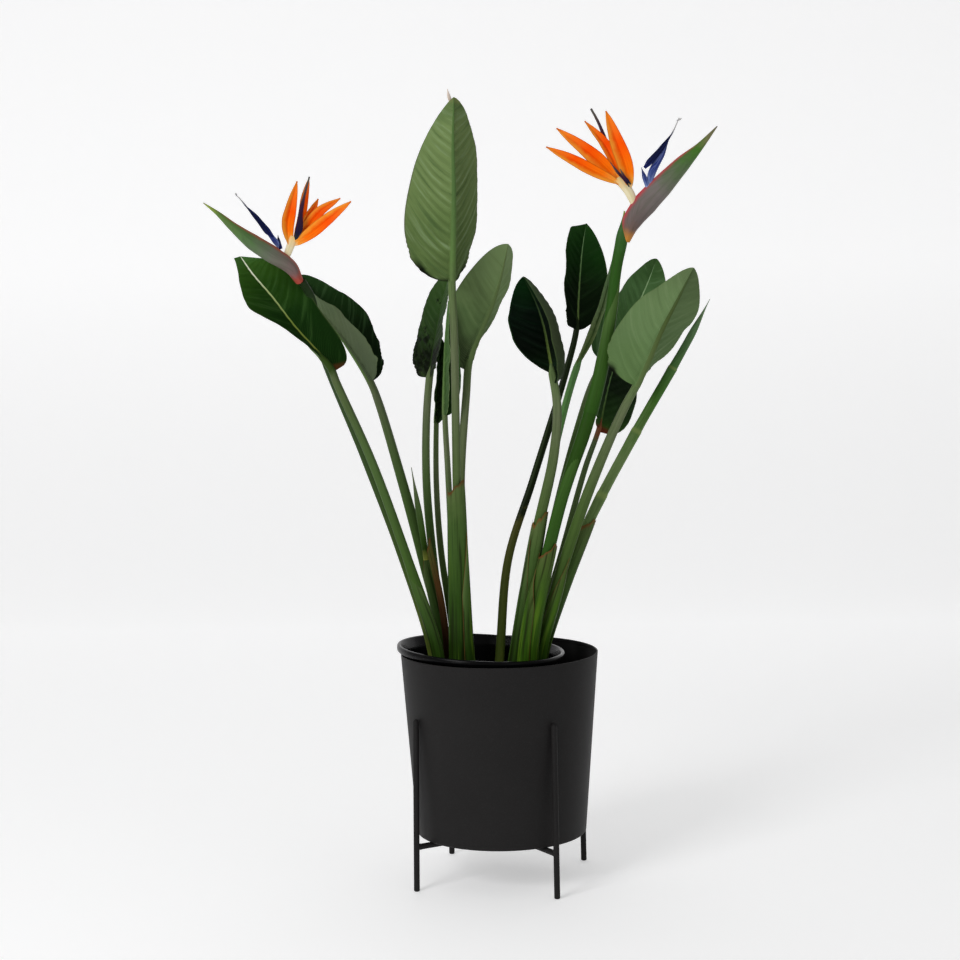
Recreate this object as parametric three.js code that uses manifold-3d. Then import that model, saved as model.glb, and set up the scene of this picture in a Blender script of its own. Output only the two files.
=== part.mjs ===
// A bird of paradise plant in a nursery pot, standing in a black steel planter on a four-legged rod stand.
// Millimetres, +Z up. +X is to the right and +Y away from whoever looks at the front of the plant.
// Every path below is written about the planter's axis, with z = 0 on the floor.
import * as THREE from "three";
import { mergeVertices } from "three/addons/utils/BufferGeometryUtils.js";
import Module from "manifold-3d";

const wasm = await Module();
wasm.setup();

// Driving dimensions of the holder
const GAP = 0.3;
const SEGMENTS = 40;
const RIM_RADIUS = 135;
const RIM_HEIGHT = 313.5;
const BASE_RADIUS = 116.5;
const BASE_HEIGHT = 64.5;
const SHEET = 1.5;
const RIM_BEAD = 3;
const ROD_RADIUS = 4;
const ROD_SIDES = 10;
const LEG_HEIGHT = 235;
const LEG_SPLAY = 3;
const FIRST_LEG_ANGLE = 32;
const LEG_COUNT = 4;

// Driving dimensions of the nursery pot and its soil
const POT_SHIFT_X = -25;
const POT_SHIFT_Y = 4;
const LIP_RADIUS = 115.5;
const LIP_DEPTH = 9;
const LIP_REACH = 9;
const LIP_SLOPE = 0.06;
const LIP_PIVOT_X = -85;
const POT_BASE_RADIUS = 88;
const POT_WALL = 1.8;
const SOIL_HEIGHT = 284;
const SOIL_CROWN = 5;
const DRAIN_COUNT = 6;
const DRAIN_RADIUS = 6;
const DRAIN_CIRCLE = 58;

// Driving dimensions of the plant's tissue
const BLADE_THICKNESS = 0.9;
const SEPAL_THICKNESS = 1.2;
const SHEATH_THICKNESS = 1.2;
const STALK_SIDES = 8;

const VIEWER = new THREE.Vector3(0, -1, 0);
const degrees = THREE.MathUtils.degToRad;

const finish = (color, roughness, metalness = 0) =>
  new THREE.MeshStandardMaterial({ color, roughness, metalness });

const FINISHES = {
  coatedSteel: finish("#1f1f20", 0.55, 0.2),
  potPlastic: finish("#0d0e0f", 0.3),
  soil: finish("#1d1510", 0.95),
  darkLeaf: finish("#16331a", 0.45),
  paleLeaf: finish("#5a7a4a", 0.55),
  stem: finish("#47693a", 0.5),
  driedSheath: finish("#6b4f32", 0.85),
  spathe: finish("#5d6a5b", 0.5),
  sepal: finish("#f26a12", 0.5),
  bluePetal: finish("#26306b", 0.45),
};

const plant = new THREE.Group();

function addPart(name, geometry, material) {
  const mesh = new THREE.Mesh(geometry, material);
  mesh.name = name;
  plant.add(mesh);
  return mesh;
}

// Solids

function geometryOf(points, faces) {
  const geometry = new THREE.BufferGeometry();
  geometry.setAttribute("position", new THREE.Float32BufferAttribute(points.flatMap((p) => p.toArray()), 3));
  geometry.setIndex(faces.flat());
  return geometry;
}

function solidOf(geometry) {
  const bare = geometry.clone();
  bare.deleteAttribute("normal");
  bare.deleteAttribute("uv");
  const merged = mergeVertices(bare, 1e-4);
  const vertProperties = merged.attributes.position.array;
  const triVerts = new Uint32Array(merged.index.array);
  return new wasm.Manifold(new wasm.Mesh({ numProp: 3, vertProperties, triVerts }));
}

function geometryFrom(solid) {
  const { vertProperties, triVerts } = solid.getMesh();
  const geometry = new THREE.BufferGeometry();
  geometry.setAttribute("position", new THREE.BufferAttribute(new Float32Array(vertProperties), 3));
  geometry.setIndex(new THREE.BufferAttribute(new Uint32Array(triVerts), 1));
  return geometry;
}

function join(first, ...others) {
  return geometryFrom(others.reduce((sum, geometry) => sum.add(solidOf(geometry)), solidOf(first)));
}

function cut(first, ...others) {
  return geometryFrom(others.reduce((rest, geometry) => rest.subtract(solidOf(geometry)), solidOf(first)));
}

// A closed body through rings of points, which run anticlockwise seen from the far end.
function loft(rings) {
  const n = rings[0].length;
  const middle = (ring) => ring.reduce((sum, p) => sum.add(p), new THREE.Vector3()).divideScalar(n);
  const points = [...rings.flat(), middle(rings[0]), middle(rings.at(-1))];
  const lastRing = (rings.length - 1) * n;
  const nearEnd = rings.length * n;
  const farEnd = nearEnd + 1;
  const faces = [];
  for (let j = 0; j < n; j++) {
    const next = (j + 1) % n;
    for (let a = j, b = next; a < lastRing; a += n, b += n) faces.push([a, b, b + n], [a, b + n, a + n]);
    faces.push([nearEnd, next, j], [farEnd, lastRing + j, lastRing + next]);
  }
  return geometryOf(points, faces);
}

// A closed thin sheet between two grids of points, with both faces split into triangles alike.
function slab(top, bottom) {
  const rows = top.length - 1;
  const columns = top[0].length - 1;
  const t = (i, j) => i * (columns + 1) + j;
  const b = (i, j) => t(i, j) + (rows + 1) * (columns + 1);
  const faces = [];
  for (let i = 0; i < rows; i++) {
    for (let j = 0; j < columns; j++) {
      faces.push([t(i, j), t(i, j + 1), t(i + 1, j + 1)], [t(i, j), t(i + 1, j + 1), t(i + 1, j)]);
      faces.push([b(i, j), b(i + 1, j + 1), b(i, j + 1)], [b(i, j), b(i + 1, j), b(i + 1, j + 1)]);
    }
    faces.push([t(i, 0), t(i + 1, 0), b(i + 1, 0)], [t(i, 0), b(i + 1, 0), b(i, 0)]);
    faces.push([t(i + 1, columns), t(i, columns), b(i, columns)]);
    faces.push([t(i + 1, columns), b(i, columns), b(i + 1, columns)]);
  }
  for (let j = 0; j < columns; j++) {
    faces.push([t(0, j + 1), t(0, j), b(0, j)], [t(0, j + 1), b(0, j), b(0, j + 1)]);
    faces.push([t(rows, j), t(rows, j + 1), b(rows, j + 1)], [t(rows, j), b(rows, j + 1), b(rows, j)]);
  }
  return geometryOf([...top.flat(), ...bottom.flat()], faces);
}

// Growth: paths, stalks and blades

const curveThrough = (points) => new THREE.CatmullRomCurve3(points.map((p) => new THREE.Vector3(...p)));

// The frame at a point of a path: along it, towards the viewer, and to the viewer's right.
function frameAt(curve, t) {
  const along = curve.getTangent(t);
  const front = VIEWER.clone().addScaledVector(along, -VIEWER.dot(along)).normalize();
  const right = along.clone().cross(front);
  return { at: curve.getPoint(t), along, front, right };
}

// A direction across the path: 0 degrees points to the viewer and 90 degrees to the viewer's right.
function aim(frame, angle) {
  const toFront = frame.front.clone().multiplyScalar(Math.cos(angle));
  return toFront.addScaledVector(frame.right, Math.sin(angle));
}

function ovalRing(centre, frame, halfWidth, halfDepth, sides = STALK_SIDES) {
  const ring = [];
  for (let j = 0; j < sides; j++) {
    const angle = (2 * Math.PI * (j + 0.5)) / sides;
    const point = centre.clone().addScaledVector(frame.front, halfDepth * Math.cos(angle));
    ring.push(point.addScaledVector(frame.right, halfWidth * Math.sin(angle)));
  }
  return ring;
}

const mix = THREE.MathUtils.lerp;
const range = (count) => Array.from({ length: count + 1 }, (_, i) => i / count);

// A stalk's half width and half depth at t, from 0 in the soil to 1 at its top: wide and sheathing below.
function stalkSize(stalk, t) {
  const spread = (1 - t) ** 1.2;
  return [mix(stalk.top, stalk.foot, spread), mix(stalk.top, stalk.foot * stalk.flat, spread)];
}

function stalkRing(curve, stalk, share, t, grow = 0) {
  const [halfWidth, halfDepth] = stalkSize(stalk, t);
  const frame = frameAt(curve, share * t);
  return ovalRing(frame.at, frame, halfWidth + grow, halfDepth + grow);
}

// The hole that a stalk stands in, made from rings that are a little wider than the stalk's own.
const holes = [];
const ABOVE_SOIL = SOIL_HEIGHT + 2 * SOIL_CROWN;
const deeper = (ring) => ring.map((p) => p.clone().setZ(p.z - GAP));

function openHole(widerRings) {
  const clear = widerRings.findIndex((ring) => ring.every((p) => p.z > ABOVE_SOIL));
  holes.push(loft([deeper(widerRings[0]), ...widerRings.slice(1, clear + 1)]));
}

// How much of its full half width a blade has at s, from 0 at its base to 1 at its tip.
// A small base exponent makes a full base, and a small point exponent a blunt tip.
function bladeShape([base, point], s) {
  const widest = base / (base + point);
  return (s / widest) ** base * (Math.max(1 - s, 0) / (1 - widest)) ** point;
}

const halfWidthAt = (blade, pick, s) => blade.halfWidth[pick] * bladeShape(blade.outline[pick], s);

// One half of a blade at s: its points from the midrib out, with the upper side's direction at each.
function halfBlade(frame, blade, side, s) {
  const pick = side > 0 ? 1 : 0;
  const turn = degrees(mix(blade.turn[0], blade.turn[1], s));
  const fold = degrees(blade.fold[pick]);
  const curl = degrees(blade.curl[pick]) + 1e-6;
  const cutTip = blade.blunt[pick] * THREE.MathUtils.smoothstep(s, 0.8, 0.96);
  const reach = Math.max(halfWidthAt(blade, pick, s), cutTip, blade.thickness);
  const back = blade.lobe[pick] * (1 - s) ** 3 + blade.slant[pick] * s ** 8;
  const start = turn + side * (Math.PI / 2 - fold);
  const lift = blade.wave * Math.sin(Math.PI * s) * Math.sin(2 * Math.PI * blade.waves * s + side);
  return blade.columns.map((u) => {
    const angle = start - side * curl * u;
    const toFront = (side * reach * (Math.sin(start) - Math.sin(angle))) / curl;
    const toRight = (side * reach * (Math.cos(angle) - Math.cos(start))) / curl;
    const upper = aim(frame, u === 0 ? turn : angle - (side * Math.PI) / 2);
    const point = frame.at.clone().addScaledVector(frame.front, toFront);
    point.addScaledVector(frame.right, toRight);
    point.addScaledVector(frame.along, -back * u);
    return { point: point.addScaledVector(upper, lift * u * u), upper };
  });
}

const BLADE_DEFAULTS = {
  fold: [20, 20],
  curl: [0, 0],
  outline: [[0.58, 0.8], [0.58, 0.8]],
  lobe: [0, 0],
  blunt: [0, 0],
  slant: [0, 0],
  wave: 2.5,
  waves: 2.5,
  thickness: BLADE_THICKNESS,
  columns: [0, 0.1, 0.55, 1],
  rows: 10,
  rib: 4.6,
};

// The sheet's underside carries the midrib as a ridge that thins towards the tip.
function bladeSheet(curve, from, blade) {
  const top = [];
  const bottom = [];
  for (const step of range(blade.rows)) {
    const s = (1 - Math.cos(Math.PI * step)) / 2;
    const frame = frameAt(curve, mix(from, 1, s));
    const across = [...halfBlade(frame, blade, -1, s).slice(1).reverse(), ...halfBlade(frame, blade, 1, s)];
    const narrower = Math.min(halfWidthAt(blade, 0, s), halfWidthAt(blade, 1, s));
    const rib = Math.min(blade.rib * (1 - s) ** 0.7, 0.5 * narrower);
    const half = blade.thickness / 2;
    const middle = blade.columns.length - 1;
    const offset = ({ point, upper }, depth) => point.clone().addScaledVector(upper, depth);
    top.push(across.map((place) => offset(place, half)));
    bottom.push(across.map((place, j) => offset(place, j === middle ? -half - rib : -half)));
  }
  return slab(top, bottom);
}

const STALK_STEPS = 9;
const OVERLAP_INTO_BLADE = 0.12;

// A leaf is one grown piece: a sheathing foot, a round petiole, its midrib and the blade.
function leafGeometry({ petiole, midrib, foot = 9.5, flat = 0.58, top = 5.3, extra = [], ...shape }) {
  const blade = { ...BLADE_DEFAULTS, rib: top, ...shape };
  const curve = curveThrough([...petiole, ...midrib]);
  const share = petiole.length / (petiole.length + midrib.length - 1);
  const stalk = { foot, flat, top };
  const rings = range(STALK_STEPS).map((t) => stalkRing(curve, stalk, share, t));
  openHole(range(STALK_STEPS).map((t) => stalkRing(curve, stalk, share, t, GAP)));
  const inBlade = frameAt(curve, mix(share, 1, OVERLAP_INTO_BLADE));
  const under = aim(inBlade, degrees(blade.turn[0]));
  const centre = inBlade.at.clone().addScaledVector(under, -top * 0.45);
  const stem = loft([...rings, ovalRing(centre, inBlade, top * 0.5, top * 0.5)]);
  return join(stem, bladeSheet(curve, share, blade), ...extra);
}

// A pointed stalk with a half width for each point of its path, such as a flower stalk or a rolled leaf.
// grow widens and lengthens it by that much all round.
function spearGeometry({ path, halfWidths, flat = 0.8, steps = 14, sunk = true, grow = 0 }) {
  const curve = curveThrough(path);
  const size = (t) => {
    const place = t * (halfWidths.length - 1);
    const i = Math.min(Math.floor(place), halfWidths.length - 2);
    return mix(halfWidths[i], halfWidths[i + 1], THREE.MathUtils.smoothstep(place - i, 0, 1));
  };
  const ring = (t, wider) => {
    const frame = frameAt(curve, t);
    const centre = frame.at.addScaledVector(frame.along, wider * (2 * t - 1));
    return ovalRing(centre, frame, size(t) + wider, size(t) * flat + wider);
  };
  if (sunk) openHole(range(steps).map((t) => ring(t, GAP)));
  return loft(range(steps).map((t) => ring(t, grow)));
}

// A sheath is a curved plate that wraps the front of the stalks, with a torn, slanting top edge.
const SHEATH_ROWS = 8;
const SHEATH_COLUMNS = 6;
const SLOT_ROWS = 2;
const SLOT_WIDENING = 8;

function sheathGeometry({ path, radius, wrap, flat = 0.7, tear = 20 }) {
  const curve = curveThrough(path);
  const angles = range(SHEATH_COLUMNS).map((u) => mix(wrap[0], wrap[1], u));
  const wider = [wrap[0] - SLOT_WIDENING, ...angles, wrap[1] + SLOT_WIDENING];
  const grid = (times, grow, across) =>
    times.map((t) =>
      across.map((turn) => {
        const frame = frameAt(curve, t);
        const angle = degrees(turn);
        const reach = mix(radius[0], radius[1], t);
        const point = frame.at.clone().addScaledVector(frame.right, (reach + grow) * Math.sin(angle));
        point.addScaledVector(frame.front, (reach * flat + grow) * Math.cos(angle));
        return point.addScaledVector(frame.along, tear * t ** 6 * Math.sin(1.5 * angle));
      }),
    );
  const times = range(SHEATH_ROWS);
  const low = times.slice(0, SLOT_ROWS + 1);
  const slot = (grow) => grid(low, grow, wider).map((row, i) => (i === 0 ? deeper(row) : row));
  holes.push(slab(slot(SHEATH_THICKNESS + GAP), slot(-GAP)));
  return slab(grid(times, SHEATH_THICKNESS, angles), grid(times, 0, angles));
}

// The holder: stand, planter, nursery pot

const turned = (profile, segments = SEGMENTS) =>
  new THREE.LatheGeometry(profile.map(([r, z]) => new THREE.Vector2(r, z)), segments).rotateX(Math.PI / 2);

const wallRadius = (z) => mix(BASE_RADIUS, RIM_RADIUS, (z - BASE_HEIGHT) / (RIM_HEIGHT - BASE_HEIGHT));

function rod(length) {
  return new THREE.CylinderGeometry(ROD_RADIUS, ROD_RADIUS, length, ROD_SIDES).rotateX(Math.PI / 2);
}

// A leg leans outwards on its way down, and both its ends are cut level.
function legGeometry(angle) {
  const topRadius = wallRadius(LEG_HEIGHT) + GAP + ROD_RADIUS;
  const leg = rod(LEG_HEIGHT).translate(0, 0, LEG_HEIGHT / 2);
  const place = leg.attributes.position;
  for (let i = 0; i < place.count; i++) {
    const radius = topRadius + LEG_SPLAY * (1 - place.getZ(i) / LEG_HEIGHT);
    place.setX(i, place.getX(i) + radius * Math.cos(angle));
    place.setY(i, place.getY(i) + radius * Math.sin(angle));
  }
  return leg;
}

function standGeometry() {
  const barHeight = BASE_HEIGHT - GAP - ROD_RADIUS;
  const barRadius = wallRadius(LEG_HEIGHT) + GAP + ROD_RADIUS + LEG_SPLAY * (1 - barHeight / LEG_HEIGHT);
  const legAngle = (i) => degrees(FIRST_LEG_ANGLE + (i * 360) / LEG_COUNT);
  const legs = Array.from({ length: LEG_COUNT }, (_, i) => legGeometry(legAngle(i)));
  const bars = [0, 1].map((i) =>
    rod(2 * barRadius).rotateY(Math.PI / 2).rotateZ(legAngle(i)).translate(0, 0, barHeight),
  );
  return join(...bars, ...legs);
}

function planterGeometry() {
  const inner = (z) => wallRadius(z) - SHEET;
  const floor = BASE_HEIGHT + SHEET;
  return turned([
    [0, BASE_HEIGHT],
    [BASE_RADIUS - SHEET, BASE_HEIGHT],
    [BASE_RADIUS, BASE_HEIGHT + SHEET],
    [wallRadius(RIM_HEIGHT - RIM_BEAD), RIM_HEIGHT - RIM_BEAD],
    [RIM_RADIUS, RIM_HEIGHT - SHEET / 2],
    [RIM_RADIUS - SHEET / 2, RIM_HEIGHT],
    [RIM_RADIUS - SHEET, RIM_HEIGHT - SHEET / 2],
    [inner(RIM_HEIGHT - RIM_BEAD), RIM_HEIGHT - RIM_BEAD],
    [inner(floor), floor],
    [0, floor],
  ]);
}

const POT_FOOT = BASE_HEIGHT + SHEET + GAP;
const LIP_FOOT = RIM_HEIGHT + GAP;
const POT_TOP_RADIUS = LIP_RADIUS - LIP_REACH;
const SOIL_FOOT = POT_FOOT + POT_WALL + GAP;
const potRadius = (z) => mix(POT_BASE_RADIUS, POT_TOP_RADIUS, (z - POT_FOOT) / (LIP_FOOT - POT_FOOT));

// The pot sits askew: its foot is flat, and its lip and its soil slope down to the right.
function skewed(geometry) {
  const placed = geometry.translate(POT_SHIFT_X, POT_SHIFT_Y, 0);
  const place = placed.attributes.position;
  for (let i = 0; i < place.count; i++) {
    const share = (place.getZ(i) - POT_FOOT) / (LIP_FOOT - POT_FOOT);
    place.setZ(i, place.getZ(i) - LIP_SLOPE * (place.getX(i) - LIP_PIVOT_X) * share);
  }
  return placed;
}

function nurseryPotGeometry() {
  const lipTop = LIP_FOOT + LIP_DEPTH;
  const soften = LIP_DEPTH / 3;
  const pot = turned([
    [0, POT_FOOT],
    [POT_BASE_RADIUS, POT_FOOT],
    [POT_TOP_RADIUS, LIP_FOOT],
    [LIP_RADIUS - soften / 2, LIP_FOOT],
    [LIP_RADIUS, LIP_FOOT + soften],
    [LIP_RADIUS - soften / 2, lipTop - soften / 2],
    [LIP_RADIUS - soften * 1.5, lipTop],
    [POT_TOP_RADIUS - POT_WALL, LIP_FOOT],
    [potRadius(SOIL_FOOT) - POT_WALL, SOIL_FOOT - GAP],
    [0, SOIL_FOOT - GAP],
  ]);
  const drains = range(DRAIN_COUNT).slice(1).map((turn) => {
    const hole = new THREE.CylinderGeometry(DRAIN_RADIUS, DRAIN_RADIUS, 4 * POT_WALL, 10);
    const angle = 2 * Math.PI * turn;
    hole.rotateX(Math.PI / 2);
    return hole.translate(DRAIN_CIRCLE * Math.cos(angle), DRAIN_CIRCLE * Math.sin(angle), POT_FOOT);
  });
  return skewed(cut(pot, ...drains));
}

// Soil fills the nursery pot, with low crumbs and hollows on top, and every stem stands in its own hole.
function soilGeometry() {
  const inside = (z) => potRadius(z) - POT_WALL - GAP;
  const edge = inside(SOIL_HEIGHT);
  const ringRadii = [edge, edge * 0.82, edge * 0.6, edge * 0.36, edge * 0.16];
  const profile = [[0, SOIL_FOOT], [inside(SOIL_FOOT), SOIL_FOOT], ...ringRadii.map((r) => [r, SOIL_HEIGHT])];
  const soil = turned([...profile, [0, SOIL_HEIGHT]], SEGMENTS / 2);
  const place = soil.attributes.position;
  for (let i = 0; i < place.count; i++) {
    const [x, y, z] = [place.getX(i), place.getY(i), place.getZ(i)];
    const share = 1 - Math.hypot(x, y) / edge;
    const bumps = Math.sin(x / 11) * Math.cos(y / 9);
    if (z > SOIL_FOOT + 1) place.setZ(i, z + share * SOIL_CROWN + 2 * share * bumps);
  }
  return cut(skewed(soil), ...holes);
}

// Flowers

// The beaked spathe: a keeled boat whose upper edge opens where the flower comes out.
const SPATHE_SIDES = 8;

function spatheGeometry({ path, halfHeights, halfThickness }) {
  const curve = curveThrough(path);
  const last = halfHeights.length - 1;
  const rings = range(2 * last).map((t) => {
    const frame = frameAt(curve, t);
    const i = Math.min(Math.floor(t * last), last - 1);
    const halfHeight = mix(halfHeights[i], halfHeights[i + 1], t * last - i);
    const ring = [];
    for (let j = 0; j < SPATHE_SIDES; j++) {
      const angle = (2 * Math.PI * j) / SPATHE_SIDES;
      const thick = Math.min(halfThickness, halfHeight) * Math.cos(angle) * Math.abs(Math.cos(angle)) ** 0.4;
      const point = frame.at.clone().addScaledVector(frame.front, thick);
      ring.push(point.addScaledVector(frame.right, halfHeight * Math.sin(angle)));
    }
    return ring;
  });
  return loft(rings);
}

const SEPAL_DEFAULTS = {
  thickness: SEPAL_THICKNESS,
  wave: 0,
  waves: 0,
  outline: [[0.65, 0.8], [0.65, 0.8]],
  fold: [25, 25],
  rib: 1,
  rows: 7,
  columns: [0, 0.55, 1],
};

function sepalGeometry({ path, halfWidth, turn }) {
  const shape = { halfWidth: [halfWidth, halfWidth], turn };
  return bladeSheet(curveThrough(path), 0, { ...BLADE_DEFAULTS, ...SEPAL_DEFAULTS, ...shape });
}

// The blue arrow: a round shaft that ends in a flat head with two barbs.
const ARROW_THICKNESS = 1.8;
const BARB_LENGTH = 6;

function arrowHead({ shaftEnd, tip, halfWidth }) {
  const from = new THREE.Vector3(...shaftEnd);
  const along = new THREE.Vector3(...tip).sub(from);
  const length = along.length();
  along.normalize();
  const front = VIEWER.clone().addScaledVector(along, -VIEWER.dot(along)).normalize();
  const right = along.clone().cross(front);
  const outline = new THREE.Shape();
  outline.moveTo(0, 2);
  outline.lineTo(-BARB_LENGTH, halfWidth);
  outline.quadraticCurveTo(length * 0.2, halfWidth * 0.95, length, 0.4);
  outline.lineTo(length, -0.4);
  outline.quadraticCurveTo(length * 0.2, -halfWidth * 0.95, -BARB_LENGTH, -halfWidth);
  outline.lineTo(0, -2);
  const flat = { depth: ARROW_THICKNESS, bevelEnabled: false, curveSegments: 5 };
  const head = new THREE.ExtrudeGeometry(outline, flat).translate(0, 0, -ARROW_THICKNESS / 2);
  const placed = new THREE.Matrix4().makeBasis(along, right, along.clone().cross(right));
  return head.applyMatrix4(placed.setPosition(from));
}

// Each flower sits in a hole of its own in the spathe, and its pistil and arrow in holes of their own too.
function addFlower(side, { scape, spathe, neck, sepals, arrow, pistil }) {
  const grown = (spear) => spearGeometry({ ...spear, grow: GAP, sunk: false });
  const plain = (spear) => spearGeometry({ ...spear, sunk: false });
  const stalk = spearGeometry(scape);
  const beak = spatheGeometry(spathe);
  const orange = join(plain(neck), ...sepals.map(sepalGeometry));
  addPart(`scape_${side}`, stalk, FINISHES.stem);
  addPart(`spathe_${side}`, cut(beak, grown(scape), grown(neck), grown(arrow.shaft)), FINISHES.spathe);
  addPart(`flower_sepals_${side}`, cut(orange, grown(pistil), grown(arrow.shaft)), FINISHES.sepal);
  addPart(`flower_arrow_petal_${side}`, join(plain(arrow.shaft), arrowHead(arrow.head)), FINISHES.bluePetal);
  addPart(`flower_pistil_${side}`, plain(pistil), FINISHES.bluePetal);
}

// The left clump, from the front

addPart(
  "leaf_left_front",
  leafGeometry({
    petiole: [[-78, -22, 240], [-83, -25, 318], [-121, -46, 447], [-165, -68, 581], [-208, -88, 687]],
    midrib: [[-216.7, -86, 708.7], [-261.9, -82, 761.6], [-292, -74, 801.1],
      [-315.7, -70, 833], [-329.4, -68, 854.3]],
    foot: 7.5,
    halfWidth: [46, 38],
    turn: [70, 45],
    fold: [5, 48],
    outline: [[0.3, 0.45], [0.22, 0.5]],
    lobe: [0, 8],
    blunt: [14, 22],
    slant: [-8, 23],
    wave: 3,
  }),
  FINISHES.darkLeaf,
);

addPart(
  "leaf_left_outer",
  leafGeometry({
    petiole: [[-72, 10, 240], [-73, 10, 314], [-102, 17, 439], [-134, 23, 563], [-160, 28, 655]],
    midrib: [[-171, 30, 684], [-200, 38, 732], [-223, 46, 763], [-246, 54, 790], [-271, 70, 831]],
    halfWidth: [43, 50],
    turn: [73, 46],
    fold: [47, 34],
    outline: [[0.4, 0.8], [0.42, 0.6]],
    extra: [
      spearGeometry({
        path: [[-98, 10, 440], [-106, 2, 500], [-116, -1, 568]],
        halfWidths: [4.2, 4.6, 0.6],
        sunk: false,
      }),
    ],
  }),
  FINISHES.darkLeaf,
);

addPart(
  "leaf_left_tall",
  leafGeometry({
    petiole: [[-52, -24, 240], [-53, -26, 340], [-54, -31, 471], [-54, -36, 607], [-54, -42, 741]],
    midrib: [[-56, -45, 818], [-54, -43, 872], [-52, -35, 935], [-52, -29, 1000], [-50, -25, 1062]],
    foot: 6,
    halfWidth: [53, 65],
    turn: [225, 194],
    fold: [30, 30],
    outline: [[0.65, 0.65], [0.45, 0.8]],
    wave: 2,
  }),
  FINISHES.paleLeaf,
);

addPart(
  "leaf_left_inner",
  leafGeometry({
    petiole: [[-42, 6, 240], [-46, 6, 315], [-48, 6, 439], [-49, 7, 549], [-40, 9, 665]],
    midrib: [[-35, 10, 712], [-20, 15, 750], [-5, 20, 782], [8, 25, 820], [20, 35, 869]],
    foot: 6,
    halfWidth: [38, 54],
    turn: [222, 220],
    fold: [29, 29],
    outline: [[1, 0.3], [0.5, 0.6]],
    lobe: [0, 14],
    wave: 1.5,
  }),
  FINISHES.paleLeaf,
);

addPart(
  "leaf_left_back",
  leafGeometry({
    petiole: [[-76, 28, 240], [-76, 27, 320], [-88, 29, 423], [-97, 35, 540], [-96, 41, 630]],
    midrib: [[-91, 45, 688], [-86, 50, 722], [-79, 54, 758], [-71, 58, 796], [-59, 60, 838]],
    foot: 6.5,
    halfWidth: [42, 34],
    turn: [-62, -62],
    fold: [12, 12],
    outline: [[0.25, 0.5], [0.5, 0.8]],
    wave: 1.5,
    waves: 2,
  }),
  FINISHES.darkLeaf,
);

addPart(
  "leaf_left_folded",
  leafGeometry({
    petiole: [[-58, 24, 240], [-62, 28, 320], [-79, 44, 450], [-84, 56, 540]],
    midrib: [[-83, 66, 622], [-81, 72, 655], [-78, 78, 700], [-75, 82, 742]],
    foot: 5.5,
    top: 3.6,
    halfWidth: [30, 30],
    turn: [0, 0],
    fold: [78, 78],
    wave: 1,
  }),
  FINISHES.darkLeaf,
);

addPart(
  "leaf_left_furled",
  leafGeometry({
    petiole: [[-56, -5, 240], [-58, -6, 316], [-62, -7, 440], [-66, -7, 560]],
    midrib: [[-69, -5, 638], [-68, -4, 690], [-66, -2, 740], [-62, 0, 793]],
    foot: 5.5,
    top: 3.8,
    halfWidth: [24, 24],
    turn: [40, 40],
    fold: [66, 66],
    outline: [[0.4, 0.8], [0.4, 0.8]],
    wave: 1,
  }),
  FINISHES.paleLeaf,
);

addPart(
  "sheath_left_outer",
  sheathGeometry({
    path: [[-52, -24, 272], [-53, -26, 340], [-54, -30, 458], [-55, -34, 545]],
    radius: [16, 11.5],
    wrap: [-100, 100],
    tear: 8,
  }),
  FINISHES.driedSheath,
);

addPart(
  "sheath_left_dried",
  sheathGeometry({
    path: [[-69, -9, 272], [-72, -9, 332], [-79, -11, 390], [-94, -16, 465]],
    radius: [5, 4],
    wrap: [-70, 70],
    flat: 0.5,
    tear: 8,
  }),
  FINISHES.driedSheath,
);

addFlower("left", {
  scape: {
    path: [[-86, -5, 240], [-93, -10, 318], [-132, -23, 455], [-178, -37, 588], [-233.7, -60, 744],
      [-241, -58, 796], [-252, -85, 822]],
    halfWidths: [6, 5.5, 5.5, 5.5, 5.5, 5.5, 5.5],
  },
  spathe: {
    path: [[-252.5, -84, 817.8], [-265, -102, 840.4], [-287.1, -120, 856.9], [-310, -129, 872.4],
      [-333.3, -133, 891.9], [-353.9, -135, 910.6], [-370.9, -136, 922.4]],
    halfHeights: [7, 11.5, 13, 12, 7, 3.4, 0.6],
    halfThickness: 9,
  },
  neck: {
    path: [[-270.6, -106, 849.2], [-265.6, -106, 861.1], [-258.7, -106, 878.9]],
    halfWidths: [4, 5, 6],
    steps: 4,
  },
  sepals: [
    {
      path: [[-264, -108, 867], [-266.5, -110, 893.7], [-261.5, -115, 915.4], [-251.8, -119, 949]],
      halfWidth: 9.4,
      turn: [20, 20],
    },
    {
      path: [[-260.7, -106, 867], [-249.8, -104, 906.5], [-244.9, -102, 932.2], [-238, -100, 953.9]],
      halfWidth: 7.8,
      turn: [48, 48],
    },
    {
      path: [[-260.7, -104, 867], [-243.9, -102, 897.6], [-236, -98, 911.5], [-227.1, -94, 927.3]],
      halfWidth: 7,
      turn: [30, 30],
    },
    {
      path: [[-260.7, -105, 867], [-240, -105, 891.7], [-223.2, -105, 911.4], [-197.5, -104, 927.2]],
      halfWidth: 8,
      turn: [-20, 10],
    },
    {
      path: [[-260.7, -107, 867], [-235, -110, 883.8], [-210.3, -114, 902.6], [-182.7, -118, 922.3]],
      halfWidth: 9,
      turn: [0, 0],
    },
  ],
  arrow: {
    shaft: {
      path: [[-274.5, -114, 855.2], [-279.4, -116, 867], [-286.3, -118, 877.9]],
      halfWidths: [2, 2.2, 2.4],
      steps: 4,
    },
    head: { shaftEnd: [-285.4, -118, 876.9], tip: [-317.9, -126, 918.3], halfWidth: 5 },
  },
  pistil: {
    path: [[-258.7, -104, 871], [-252.8, -111, 886.8], [-247.8, -114, 910.5], [-241.9, -114, 934.2],
      [-237, -113, 952.9]],
    halfWidths: [2.4, 2.6, 1.6, 1, 0.6],
    steps: 8,
  },
});

// The right clump, from the front

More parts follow.
